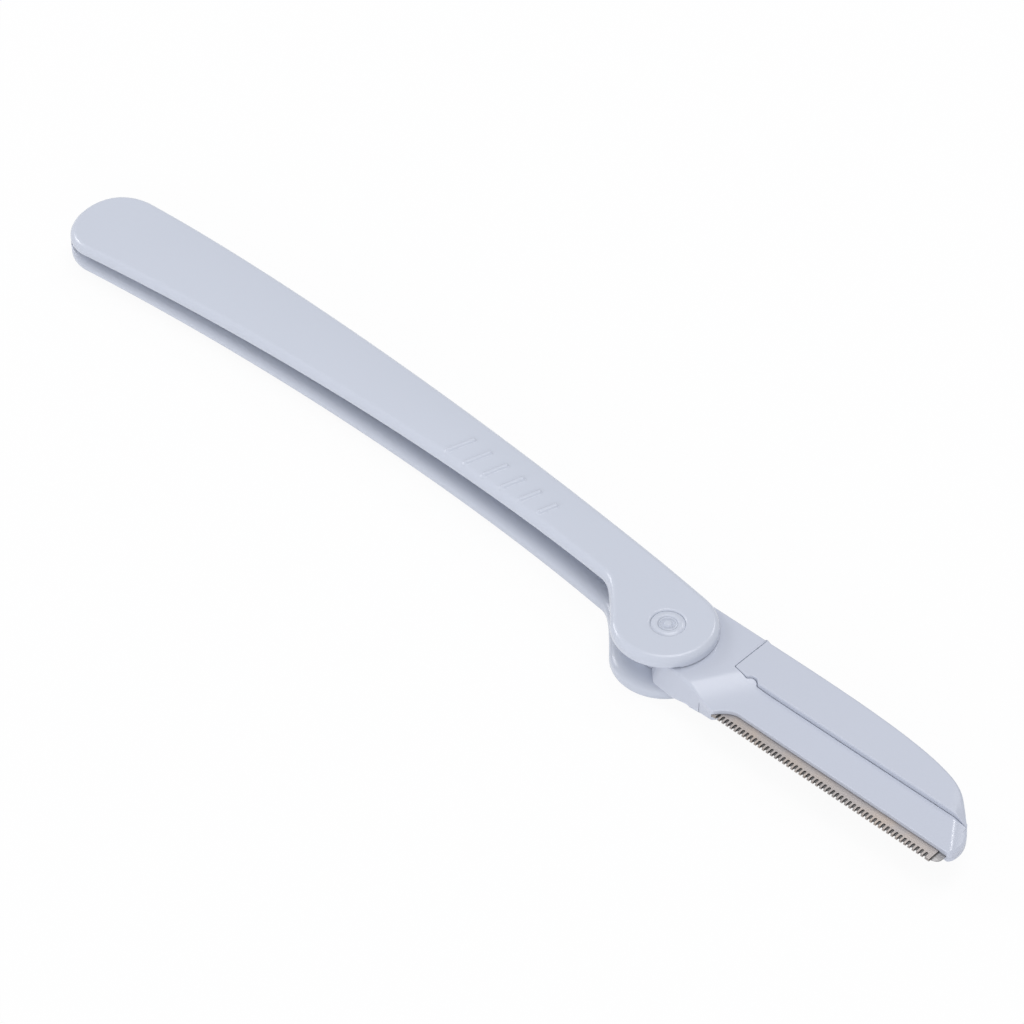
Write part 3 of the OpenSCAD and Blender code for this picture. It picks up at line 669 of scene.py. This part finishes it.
def handle_sides():
    """Spine side and belly side of the handle, from the round end of the ears to the tail: an arc
    of the ear, then cubic curves whose points are shares of the length and the rise."""
    full = np.array([HANDLE_LEN, HANDLE_RISE])
    middle = (SPINE_TANGENT + NECK_TANGENT) / 2
    ear = [arc(EAR_CENTRE, EAR_R, middle, a, EAR_STEPS) for a in (SPINE_TANGENT, NECK_TANGENT)]
    spine = np.concatenate([ear[0][-1:], SPINE_POINTS * full])
    tail_top = np.concatenate([spine[-1:], TAIL_TOP_POINTS * full])
    belly = BELLY_POINTS * full
    neck = np.concatenate([ear[1][-1:], NECK_POINTS * full, belly[:1]])
    tail_low = np.concatenate([belly[-1:], TAIL_LOW_POINTS * full, tail_top[-1:]])
    upper = joined(ear[0], curve(spine, NECK_STEPS, 0, SPINE_NECK_SHARE),
                   curve(spine, SIDE_STEPS, SPINE_NECK_SHARE, 1), curve(tail_top, EAR_STEPS))
    lower = joined(ear[1], curve(neck, NECK_STEPS), curve(belly, SIDE_STEPS),
                   curve(tail_low, EAR_STEPS))
    upper[:, 1] = np.minimum(upper[:, 1], CAD_BOX[1].y / MM)
    return upper, lower


def taper(p, start=TAPER_X):
    """Share of the way from a distance behind the pivot to the tail."""
    return np.clip((-p[:, 0] - start) / (HANDLE_LEN - start), 0, 1)


def crown(x, y, upper, lower):
    """Swell of the front face: 4 s (1 - s) at the share s of the way across it, grown from nothing
    behind the ears and faded where the tail narrows."""
    top, low = [np.interp(-x, -side[:, 0], side[:, 1]) for side in (upper, lower)]
    s = np.clip((y - low) / np.maximum(top - low, 1e-6), 0, 1)
    grown = smooth((-x - TAPER_X) / CROWN_RUN) * smooth((HANDLE_LEN - CROWN_END + x) / CROWN_FADE)
    return sizes().crown / MM * 4 * s * (1 - s) * grown


def front_height(upper, lower):
    """Height of the handle's front face between its sides, as a function of the place on it."""
    pick = [p[(p[:, 0] < -TAPER_X + 1) & (np.gradient(p[:, 0]) < 0)] for p in (upper, lower)]
    upper, lower = [p[np.argsort(-p[:, 0])] for p in pick]

    def height(p):
        return HANDLE_T - FRONT_TAPER * taper(p) + crown(p[:, 0], p[:, 1], upper, lower)
    return height


def slot_floor(p):
    return BACK_WALL_T + (BACK_TAPER + TAIL_WALL_T - BACK_WALL_T) * taper(p, SLOT_TAPER_X)


def slot_roof(p):
    return HANDLE_T - WALL_T + (WALL_T - FRONT_TAPER - TAIL_WALL_T) * taper(p, SLOT_TAPER_X)


def mouth_solid(lower, face, r, run, up):
    """Strip that rounds one rim of the slot's mouth. Its section, swept along the belly side, is
    the corner outside a quarter of an oval: run (1 - cos) inwards at a height of r (1 - sin) behind
    the face. Both shrink towards the tail, where the strip runs out."""
    end = HANDLE_LEN - SPINE_T
    path = lower[2:int(np.argmax(lower[:, 0] < MOUTH_LEAST - end))]
    fade = MOUTH_LEAST + (1 - MOUTH_LEAST) * smooth((path[:, :1] + end) / MOUTH_FADE)
    r, run = r * fade, run * fade
    along = np.gradient(path, axis=0)
    along /= np.linalg.norm(along, axis=1)[:, None]
    inward = np.stack([along[:, 1], -along[:, 0]], 1)
    a = np.radians(np.linspace(0, 90, 9))
    out, past = np.full_like(r, MOUTH_OUT), np.full_like(r, MOUTH_PAST)
    s = np.concatenate([-out, run * (1 - np.cos(a)), run, -out], 1)
    dz = up * np.concatenate([-r, r * (np.sin(a) - 1), past, past], 1)
    if up > 0:
        s, dz = s[:, ::-1], dz[:, ::-1]
    p = path[:, None] + s[..., None] * inward[:, None]
    z = face(p.reshape(-1, 2)) + dz.ravel()
    verts = np.column_stack([p.reshape(-1, 2), z])
    index = np.arange(len(verts)).reshape(s.shape)
    return verts, bands(index).tolist() + [index[0][::-1].tolist(), index[-1].tolist()]


def slot_solid(upper, lower):
    """Space that the head folds into: the outline less the spine wall, open along the belly, at the
    ears and at the tail's corner, between two planes that close in towards the tail."""
    loop = looped(upper, lower)
    wall = inset(loop, np.full(len(loop), SPINE_T))
    last = len(loop) - (len(upper) - 1 - EAR_STEPS + SLOT_OPEN_STEPS)
    inner = wall[EAR_STEPS:last + 1]
    inner = inner[inner[:, 0] < WALL_END_X - 0.05]
    at = int(np.argmax(inner[:, 0] < -SLOT_TAPER_X))
    p, q = inner[at - 1], inner[at]
    bend = p + (q - p) * (-SLOT_TAPER_X - p[0]) / (q[0] - p[0])
    inner = np.concatenate([inner[:at], [bend], inner[at:]])
    low_y, right_x = -2 * EAR_R, 2 * EAR_R
    outline = np.concatenate([
        [[right_x, HANDLE_RISE], [WALL_END_X, HANDLE_RISE], [WALL_END_X, inner[0][1]]],
        inner,
        [[inner[-1][0], low_y], [-SLOT_TAPER_X, low_y], [right_x, low_y]]])
    return prism(outline, slot_floor, slot_roof, (3 + at, len(outline) - 2))


def rivet_hole():
    """Bore through both ears with a counterbore at each. Its front lip falls by the square of the
    distance from the lip's outer edge."""
    bore, rim = SLEEVE_D / 2 + FIT_GAP, FLANGE_D / 2 + FIT_GAP
    t = np.linspace(0, 1, 8)
    flare = np.stack([rim + LIP_W * t, HANDLE_T - LIP_FALL * (1 - t) ** 2], 1)
    return turned(np.concatenate([
        [[0, -1], [rim, -1], [rim, FLANGE_T + FIT_GAP], [bore, FLANGE_T + FIT_GAP],
         [bore, RIVET_Z1 - FLANGE_T - FIT_GAP], [rim, RIVET_Z1 - FLANGE_T - FIT_GAP]],
        flare, [[rim + LIP_W, HANDLE_T + 1], [0, HANDLE_T + 1]]]), RIVET_STEPS)


def rib_solid(k, height):
    """One rib: a low flat-topped mound round a line. Its height over the face is the rib's height
    less the smooth step 3 t t - 2 t t t, where t runs from the edge of the flat top to the foot,
    and it dips into the face by the square of the distance round the foot."""
    length = RIB_LEN + k * RIB_GROW
    lean = math.radians(RIB_LEAN)
    along, over = np.array([[math.cos(lean), math.sin(lean)], [-math.sin(lean), math.cos(lean)]])
    centre = np.array([
        -RIB_FIRST - k * RIB_PITCH + length / 2 * along[0],
        HANDLE_RISE * (RIB_RISE + k * RIB_RISE_GROW) + length / 2])
    u = np.linspace(-np.pi / 2, 1.5 * np.pi, 49)[:-1] + 1e-4
    v = np.linspace(0, RIB_FOOT, 20)
    ends = np.where(np.cos(u) > 0, 1, -1) * (length - RIB_W) / 2
    reach = v[:, None] * RIB_W / 2
    p = (centre + (ends + reach * np.cos(u))[..., None] * along
         + (reach * np.sin(u))[..., None] * over)
    flat = p.reshape(-1, 2)
    share = np.repeat(v, len(u))
    mound = sizes().rib_height / MM * (1 - smooth((share - RIB_TOP) / (1 - RIB_TOP)))
    mound -= RIB_DIP * np.maximum(share - RIB_SLOPE, 0) ** 2
    top = np.column_stack([flat, height(flat) + mound])
    foot = top[-len(u):] - [0, 0, RIB_ROOT]
    index = np.arange((len(v) + 1) * len(u)).reshape(-1, len(u))
    quads = bands(index)[:, ::-1]
    return np.concatenate([top, foot]), quads.tolist() + [index[-1][::-1].tolist()]


class RAZOR_OT_handle(bpy.types.Operator):
    """Handle: a bowed channel with round ears, a swelling front face and six grip ribs"""

    bl_idname = "razor.handle"
    bl_label = "Handle"

    def execute(self, context):
        s = sizes()
        upper, lower = handle_sides()
        height = front_height(upper, lower)
        blank = object_of("handle_moulding", plate(
            upper, lower, lambda p: BACK_TAPER * taper(p), height,
            s.back_round / MM, s.front_round / MM, across=26, steps=10))
        carved(blank, [
            slot_solid(upper, lower),
            mouth_solid(lower, slot_floor, s.mouth_round / MM, s.mouth_run / MM, 1),
            mouth_solid(lower, slot_roof, FRONT_MOUTH, FRONT_MOUTH, -1),
            rivet_hole()])
        merged(blank, object_of("ribs", *[rib_solid(k, height) for k in range(RIB_COUNT)]))
        finished(blank, "handle", "handle_body", handle_plastic())
        return {"FINISHED"}


# Rivet

class RAZOR_OT_rivet(bpy.types.Operator):
    """Rivet: a flanged sleeve and the pin inside it, both turned"""

    bl_idname = "razor.rivet"
    bl_label = "Rivet"

    def execute(self, context):
        inner, tube, flange = PIN_D / 2 + FIT_GAP, SLEEVE_D / 2, FLANGE_D / 2 - FIT_GAP
        low, high, under = FLANGE_T + FIT_GAP, RIVET_Z1, RIVET_Z1 - FLANGE_T
        sleeve = rounded([
            [inner, low, 0], [tube, low, 0.05], [tube, under, 0.02], [flange, under, 0.05],
            [flange, high - RING_FALL, 0.02], [flange - RING_OUT, high, 0.6],
            [inner + RING_IN, high, 0.2], [inner, high - RING_FALL, 0.02], [inner, low, 0]], 6)[:-1]
        obj = object_of("rivet_sleeve", turned(sleeve, RIVET_STEPS))
        finished(obj, "pivot_sleeve", "handle_body", handle_plastic())
        shank, head, end = PIN_D / 2, FLANGE_D / 2, RIVET_Z1 - PIN_DROP
        pin = rounded([
            [0, 0, 0], [head, 0, 0.12], [head, FLANGE_T, 0.05], [shank, FLANGE_T, 0.02],
            [shank, end - 0.04, 0.03], [DISH_RIM * shank, end, 0.05],
            [DISH_OUT * shank, end - DISH_DEPTH, 0.08], [DISH_IN * shank, end - DISH_DEPTH, 0.06],
            [DOT_TOP * DOT_D / 2, end + DOT_RISE, 0.07], [0, end + DOT_RISE, 0]], 6)
        obj = object_of("rivet_pin", turned(pin, RIVET_STEPS))
        finished(obj, "pivot_pin", "handle_body", handle_plastic())
        return {"FINISHED"}


# Head

def head_edge():
    """Outer edge of the head, from the upright seam along the spine and round the tip."""
    full = np.array([HEAD_LEN, HEAD_RISE])
    spine = np.concatenate([[[ARM_LEN + SEAM_GAP, HEAD_RISE]], SPINE_EDGE_POINTS * full])
    tip = np.concatenate([spine[-1:], TIP_EDGE_POINTS * full])
    corner = np.concatenate([tip[-1:], TIP_CORNER_POINTS * full])
    return joined(curve(spine, 90), curve(tip, 50), curve(corner, 16))


def crossing(path, y):
    """Place where a falling path crosses a height."""
    k = int(np.argmax(path[:, 1] < y))
    p, q = path[k - 1], path[k]
    return p + (q - p) * (p[1] - y) / (p[1] - q[1])


def seam_line(gap):
    """Seam between the two mouldings: down the arm's end, along the clamp plate and over the
    half-round key, all moved towards the cover by a gap that closes beyond the fold at the tip."""
    r, low = KEY_R + gap, SEAM_LOW_Y + gap
    reach = math.sqrt(r * r - (low - KEY_Y) ** 2)
    start = math.degrees(math.asin((low - KEY_Y) / r))
    x = ARM_LEN + gap
    tip = crossing(head_edge(), low)
    along = joined(
        line((x, SEAM_Y + gap), (KEY_X - reach, low)),
        arc((KEY_X, KEY_Y), r, 180 - start, start, 20),
        line((KEY_X + reach, low), tip))
    whole = eased(joined(line((x, HEAD_RISE), (x, SEAM_Y + gap), step=0.3), along), EASE)
    beyond = whole[:, 0] - FOLD_PLACE[0] - CLOSE_FROM
    whole[:, 1] -= CLOSE_SHARE * gap * np.clip(beyond / CLOSE_RUN, 0, 1)
    bend = int(np.argmax(whole[:, 1] - whole[:, 0] < SEAM_Y - ARM_LEN))
    return whole[:bend + 1], whole[bend:]


def plate_edge():
    """Lower edge of the two plates: up round the start of the steel, and along it to the tip."""
    corner = np.array(STEEL_CORNER_POINTS) * SHOW_H + [BLADE_X0, -EDGE_DROP]
    return joined(curve(corner, 14), line(corner[-1], (BLADE_X1 - POCKET_GAP, PLATE_Y)))


def facet(over):
    """Height of the clamp plate's facet at the tip, at a distance beyond the fold."""
    return PLATE_Z1 - math.tan(math.radians(TIP_SLOPE)) * over


def scooped(p):
    """Front face of the arm and the clamp plate: level, then a scoop whose slope fades to nothing
    at the plate, then a fold that falls away at the tip under a low bead, e to the minus square of
    the distance."""
    s = sizes()
    d = np.clip(falls(p, SCOOP_PLACE, SCOOP_HEADING) / (s.scoop_run / MM), -1, 1)
    z = ARM_Z1 - (ARM_Z1 - PLATE_Z1) * (1 - (1 - d) ** 2)
    z = soft_min(np.full(len(p), ARM_Z1), z, SCOOP_SOFT)
    over = falls(p, FOLD_PLACE, FOLD_HEADING)
    bead = s.fold_bead / MM * np.exp(-(over / BEAD_W) ** 2)
    return soft_min(z, facet(over), FOLD_SOFT) + bead


def bent(p):
    """Front face of the cover: level, then bending down beyond the fold by the square of the
    distance, and brought down to the clamp plate where the seam runs out over the tip."""
    over = falls(p, FOLD_PLACE, FOLD_HEADING)
    z = ARM_Z1 - COVER_BEND * np.maximum(over + COVER_BEND_FROM, 0) ** 2
    share = smooth(over / MEET_RUN) * np.exp(-((p[:, 1] - SEAM_LOW_Y) / MEET_H) ** 2)
    return z - share * np.maximum(z - facet(over), 0)


def bent_back(p):
    return ARM_Z0 + BACK_BEND * np.maximum(falls(p, FOLD_PLACE, FOLD_HEADING), 0) ** 2


def tip_outline(y):
    """Outer edge round the tip in two halves: up from the plates' lower corner, and down from the
    height y, to the middle of the way."""
    edge = head_edge()
    outer = np.concatenate([edge[edge[:, 1] < y][::-1], [crossing(edge, y)]])
    half = len(outer) // 2
    return outer[:half + 1], outer[half:][::-1]


def round_tip(side, tip):
    """Rows from the end of a side line round its half of the tip."""
    return resampled(np.concatenate([side[-1:], tip]), TIP_ROWS)


def spread(values):
    """Values round a loop, each the mean of itself and its neighbours, taken twice."""
    for _ in range(2):
        values = (np.roll(values, 1) + values + np.roll(values, -1)) / 3
    return values


def box(x0, x1, y0, y1, z0, z1):
    return prism([[x0, y0], [x1, y0], [x1, y1], [x0, y1]], z0, z1)


def steel_pocket():
    """Space of the blade and of the guard's legs beside it, open at the edge."""
    return [box(BLADE_X0 - POCKET_GAP, x1 + POCKET_GAP, -PAST_Y, y1 + POCKET_GAP,
                z0 - FIT_GAP, z1 + FIT_GAP) for x1, y1, z0, z1 in (
        (BLADE_X1, BLADE_Y1, BLADE_Z0, BLADE_Z1), (GUARD_X1, GUARD_Y1, GUARD_Z0, GUARD_Z1))]


def peg(z0, z1, d, x):
    return cylinder(z0, z1, d / 2, PEG_STEPS, (x, PEG_Y))


class RAZOR_OT_carrier(bpy.types.Operator):
    """Blade carrier: the arm with its leaning heel, the scooped face and the clamp plate"""

    bl_idname = "razor.carrier"
    bl_label = "Blade carrier"

    def execute(self, context):
        lip = sizes().seam_lip / MM
        upright, seam = seam_line(0.0)
        low_tip, high_tip = tip_outline(SEAM_LOW_Y)
        corner = rounded([
            [SHOULDER_X, 0, 0], [SHOULDER_X, HEAD_RISE, SHOULDER_R], [ARM_LEN, HEAD_RISE, 0]], 16)
        middle = len(corner) // 2
        lower = plate_edge()
        stations = evened(np.linspace(SEAM_ROWS_X, lower[-1][0], 142), CARRIER_KEY, STEEL_START)
        over = at_x(seam, seam[0][0] + (seam[-1][0] - seam[0][0]) * shares(stations))
        b = joined(resampled(corner[middle:], ARM_ROWS), resampled(upright, RISE_ROWS), over,
                   resampled(high_tip, TIP_ROWS))
        rows = []
        for heel in (HEEL_LOW, HEEL_TOP):
            path = np.concatenate([corner[1:middle + 1][::-1], rounded([
                [SHOULDER_X, 2.5, 0], [SHOULDER_X, 0, SHOULDER_R], *heel,
                [ARM_LEN, ARM_LOW_Y, 0.5], [*lower[0], 0]], 10)])
            cut = int(np.argmax(path[:, 0] > FAN_X))
            whole = eased(joined(path[cut - 1:], lower), EASE)
            fan = at_x(whole, np.linspace(FAN_X, stations[0], RISE_ROWS + 1))
            under = at_x(whole, stations)
            rows.append(joined(resampled(np.concatenate([path[:cut], fan[:1]]), ARM_ROWS), fan,
                               under, round_tip(under, low_tip)))
        i = ARM_ROWS + RISE_ROWS
        j = i + len(stations) - 1
        a_round, b_round = np.full((2, len(b)), HEAD_EDGE_R)
        a_round[ARM_ROWS:i + 1] = np.linspace(HEAD_EDGE_R, STEEL_EDGE_R, RISE_ROWS + 1)
        a_round[i + 1:j + 1] = STEEL_EDGE_R
        b_round[ARM_ROWS - 2:j + 1] = lip
        b_round[i:j + 1] = np.interp(over[:, 0], CARRIER_LIP[:, 0], CARRIER_LIP[:, 1] * lip)
        a_round[j + 1:] = b_round[j + 1:] = TIP_EDGE_R
        low_round = np.full(2 * (len(b) - 1), HEAD_EDGE_R)
        low_round[ARM_ROWS:len(low_round) - ARM_ROWS] = BLADE_EDGE_R
        obj = object_of("carrier_moulding", plate(
            rows[1], b, ARM_Z0, scooped, spread(low_round), spread(looped(a_round, b_round)),
            across=44, low=(rows[0], b), steps=8))
        hub = cylinder(ARM_Z0 + HUB_INSET, ARM_Z1 - HUB_INSET, HUB_R, HUB_STEPS)
        carved(obj, [hub], "UNION")
        hole_top = BLADE_Z1 + PEG_DEPTH + FIT_GAP
        carved(obj, [
            box(ARM_LEN, PAST_X, -PAST_Y, PAST_Y, 0, BLADE_Z0), *steel_pocket(),
            cylinder(0, PAST_Z, SLEEVE_D / 2 + RUN_GAP, HUB_STEPS),
            *[peg(BLADE_Z0, hole_top, PEG_D + 2 * FIT_GAP, x) for x in PEG_X]])
        finished(obj, "blade_carrier", "head", plastic("HeadPlastic", sizes().head_colour))
        return {"FINISHED"}


class RAZOR_OT_cover(bpy.types.Operator):
    """Spine cover: the strip along the spine, bent down at the tip, and the plate behind"""

    bl_idname = "razor.cover"
    bl_label = "Spine cover"

    def execute(self, context):
        lip = sizes().seam_lip / MM
        upright, seam = seam_line(SEAM_GAP)
        edge = head_edge()
        tip = seam[-1]
        top = np.concatenate([edge[edge[:, 1] > tip[1]], [tip]])
        cut = int(np.argmax(top[:, 0] > ARM_LEN + COVER_START))
        stations = evened(np.linspace(seam[0][0], tip[0], 150), COVER_KEY)
        a = joined(resampled(upright, RISE_ROWS), at_x(seam, stations))
        b = joined(resampled(top[:cut + 1], RISE_ROWS), at_shares(top[cut:], shares(stations)))
        a_round = np.interp(a[:, 0], COVER_LIP[:, 0], COVER_LIP[:, 1] * lip)
        b_round = np.full(len(a), HEAD_EDGE_R)
        b_round[:2] = lip
        width = np.linalg.norm(a - b, axis=1)
        a_round = np.minimum(a_round, SEAM_MOST * width)
        b_round = np.minimum(b_round, SPINE_MOST * width)
        strip = plate(
            a, b, bent_back, bent, spread(looped(a_round * COVER_BACK, b_round)),
            spread(looped(a_round, b_round)), across=30, steps=8)

        low_tip, high_tip = tip_outline(SEAM_LOW_Y + SEAM_GAP)
        lower = plate_edge()
        left, top_y = ARM_LEN + SEAM_GAP, SEAM_Y + PLATE_LAP
        low_path = joined(line((left, ARM_LOW_Y), tuple(lower[0])), lower)
        stations = evened(np.linspace(left + 0.5, lower[-1][0], 120), STEEL_START)
        under = at_x(low_path, stations)
        end = tip[0] - PLATE_LAP
        over = np.stack([left + (end - left) * shares(stations), np.full(len(stations), top_y)], 1)
        a = joined(at_x(low_path, np.linspace(left, stations[0], 13)), under,
                   round_tip(under, low_tip))
        b = joined(resampled(line((left, ARM_LOW_Y), (left, top_y)), 12), over,
                   round_tip(over, high_tip))

        def ramp(p):
            share = np.clip((p[:, 0] - left) / (BLADE_X0 - POCKET_GAP - left), 0, 1)
            return ARM_Z0 + (BACK_Z0 - ARM_Z0) * share
        back = object_of("cover_plate", plate(
            a, b, ramp, BLADE_Z0 - FIT_GAP, BACK_EDGE_R, BACK_TOP_R, across=10, steps=4))
        carved(back, steel_pocket())
        obj = object_of("cover_moulding", strip, *[
            peg(KEY_Z0, BLADE_Z1 + PEG_DEPTH, PEG_D, x) for x in PEG_X])
        merged(obj, back)
        colour = [COVER_LEVEL * c for c in sizes().head_colour]
        finished(obj, "spine_cover", "head", plastic("CoverPlastic", colour, COVER_ROUGHNESS))
        return {"FINISHED"}


class RAZOR_OT_steel(bpy.types.Operator):
    """Steel: the finishes of the blade and of the comb guard over its edge"""

    bl_idname = "razor.steel"
    bl_label = "Steel"

    def execute(self, context):
        s = sizes()
        guard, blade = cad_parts["comb_guard"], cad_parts["blade"]
        dress(guard, steel("GuardSteel", s.steel_colour, GUARD_STAIN, GUARD_ROUGHNESS))
        dress(blade, blade_steel("BladeSteel", s.blade_colour, BLADE_STAIN, BLADE_ROUGHNESS))
        return {"FINISHED"}


# Stage, in metres but for the camera's aim

FLOOR_HALF, FLOOR_WHITE, SKY_WHITE = 3.0, 0.93, 0.5
CAMERA_AIM = (-26.3253, 1.0332, 6.8)
LAMP_TINT = (1.0, 0.99, 1.0)

# Name, place, target, width and depth, power, and whether gloss mirrors it
LAMPS = (
    ("lamp_above", (-0.05, 0.22, 0.9), (0, 0, 0), (0.5, 0.56), 2.6, True),
    ("lamp_front", (0.74, -0.64, 0.42), (-0.02, 0, 0), (1.0, 0.5), 3.3, False),
    ("lamp_fill", (-0.12, -0.92, 0.2), (0, 0, 0), (0.9, 0.3), 2.0, False),
    ("lamp_back", (-0.08, 0.69, 0.645), (0.04, 0, 0), (0.16, 0.16), 0.85, True),
    ("lamp_left", (-0.81, -0.1, 0.47), (0, 0, 0), (0.3, 0.3), 1.5, True),
)


def soft_lamp(name, place, target, size, power, glints):
    """Oval soft lamp at a place, turned towards a target; without glints it isn't seen in gloss."""
    data = bpy.data.lights.new(name, "AREA")
    data.shape = "ELLIPSE"
    data.size, data.size_y = size
    data.energy = power
    data.color = LAMP_TINT
    obj = placed(name, data)
    obj.location = place
    obj.rotation_euler = (Vector(target) - Vector(place)).to_track_quat("-Z", "Y").to_euler()
    obj.visible_glossy = glints


def seen_as_white(tree, lit, share):
    """Mixes a lit shader with plain white of strength 1 wherever it is seen by the camera, in gloss
    or through glass; share is how much of it is plain white there."""
    path = add(tree, "LightPath", {}).outputs
    seen = path["Is Camera Ray"]
    for ray in ("Is Glossy Ray", "Is Transmission Ray"):
        seen = first(tree, "Math", {0: seen, 1: path[ray]}, operation="ADD", use_clamp=True)
    amount = first(tree, "Math", {0: seen, 1: share}, operation="MULTIPLY")
    white = first(tree, "Emission", {})
    return first(tree, "MixShader", {0: amount, 1: lit.outputs[0], 2: white})


class RAZOR_OT_stage(bpy.types.Operator):
    """Set the floor, the soft lamps, the sky and the camera"""

    bl_idname = "razor.stage"
    bl_label = "Stage"

    def execute(self, context):
        s = sizes()
        scene = context.scene

        z = CAD_BOX[0].z
        mesh = bpy.data.meshes.new("floor")
        mesh.from_pydata(
            [(x * FLOOR_HALF, y * FLOOR_HALF, z) for x, y in ((-1, -1), (1, -1), (1, 1), (-1, 1))],
            [], [(0, 1, 2, 3)])
        floor = placed("floor", mesh)
        paper = bpy.data.materials.new("PaleFloor")
        paper.use_nodes = True
        tree = paper.node_tree
        shader = tree.nodes["Principled BSDF"]
        fill(tree, shader, {
            "Base Color": (0.86, 0.86, 0.87, 1), "Roughness": 0.9, "Specular IOR Level": 0.1})
        fill(tree, tree.nodes["Material Output"], {
            "Surface": seen_as_white(tree, shader, FLOOR_WHITE)})
        mesh.materials.append(paper)

        world = scene.world or bpy.data.worlds.new("World")
        scene.world = world
        world.use_nodes = True
        tree = world.node_tree
        sky = tree.nodes["Background"]
        fill(tree, sky, {"Color": (0.98, 0.985, 1.0, 1), "Strength": 0.51})
        fill(tree, tree.nodes["World Output"], {"Surface": seen_as_white(tree, sky, SKY_WHITE)})

        for name, place, target, size, power, glints in LAMPS:
            soft_lamp(name, place, target, size, power * s.lamp_level, glints)

        aim = Vector(CAMERA_AIM) * MM
        turn, rise = s.camera_azimuth, s.camera_elevation
        back = Vector((
            math.sin(turn) * math.cos(rise), -math.cos(turn) * math.cos(rise), math.sin(rise)))
        data = bpy.data.cameras.new("camera")
        data.sensor_width = 36
        data.lens = s.camera_lens
        data.clip_start, data.clip_end = 0.01, 20
        camera = placed("camera", data)
        camera.location = aim + back * s.camera_distance
        camera.rotation_euler = (-back).to_track_quat("-Z", "Y").to_euler()
        scene.camera = camera
        scene.view_settings.view_transform = "Standard"
        return {"FINISHED"}


class RAZOR_PT_panel(bpy.types.Panel):
    """Sizes, colours and steps of the razor"""

    bl_idname = "RAZOR_PT_panel"
    bl_label = "Eyebrow razor"
    bl_space_type = "VIEW_3D"
    bl_region_type = "UI"
    bl_category = "Razor"

    def draw(self, context):
        column = self.layout.column()
        for name in RazorSizes.__annotations__:
            column.prop(context.scene.razor_sizes, name)
        for step in STEPS:
            column.operator(step.bl_idname)


STEPS = (RAZOR_OT_handle, RAZOR_OT_rivet, RAZOR_OT_carrier, RAZOR_OT_cover, RAZOR_OT_steel,
         RAZOR_OT_stage)
CLASSES = (RazorSizes, *STEPS, RAZOR_PT_panel)


def register():
    for cls in CLASSES:
        bpy.utils.register_class(cls)
    bpy.types.Scene.razor_sizes = bpy.props.PointerProperty(type=RazorSizes)


def unregister():
    del bpy.types.Scene.razor_sizes
    for cls in reversed(CLASSES):
        bpy.utils.unregister_class(cls)


def main():
    register()
    for step in STEPS:
        getattr(bpy.ops.razor, step.bl_idname.split(".")[1])()


if __name__ == "__main__":
    main()
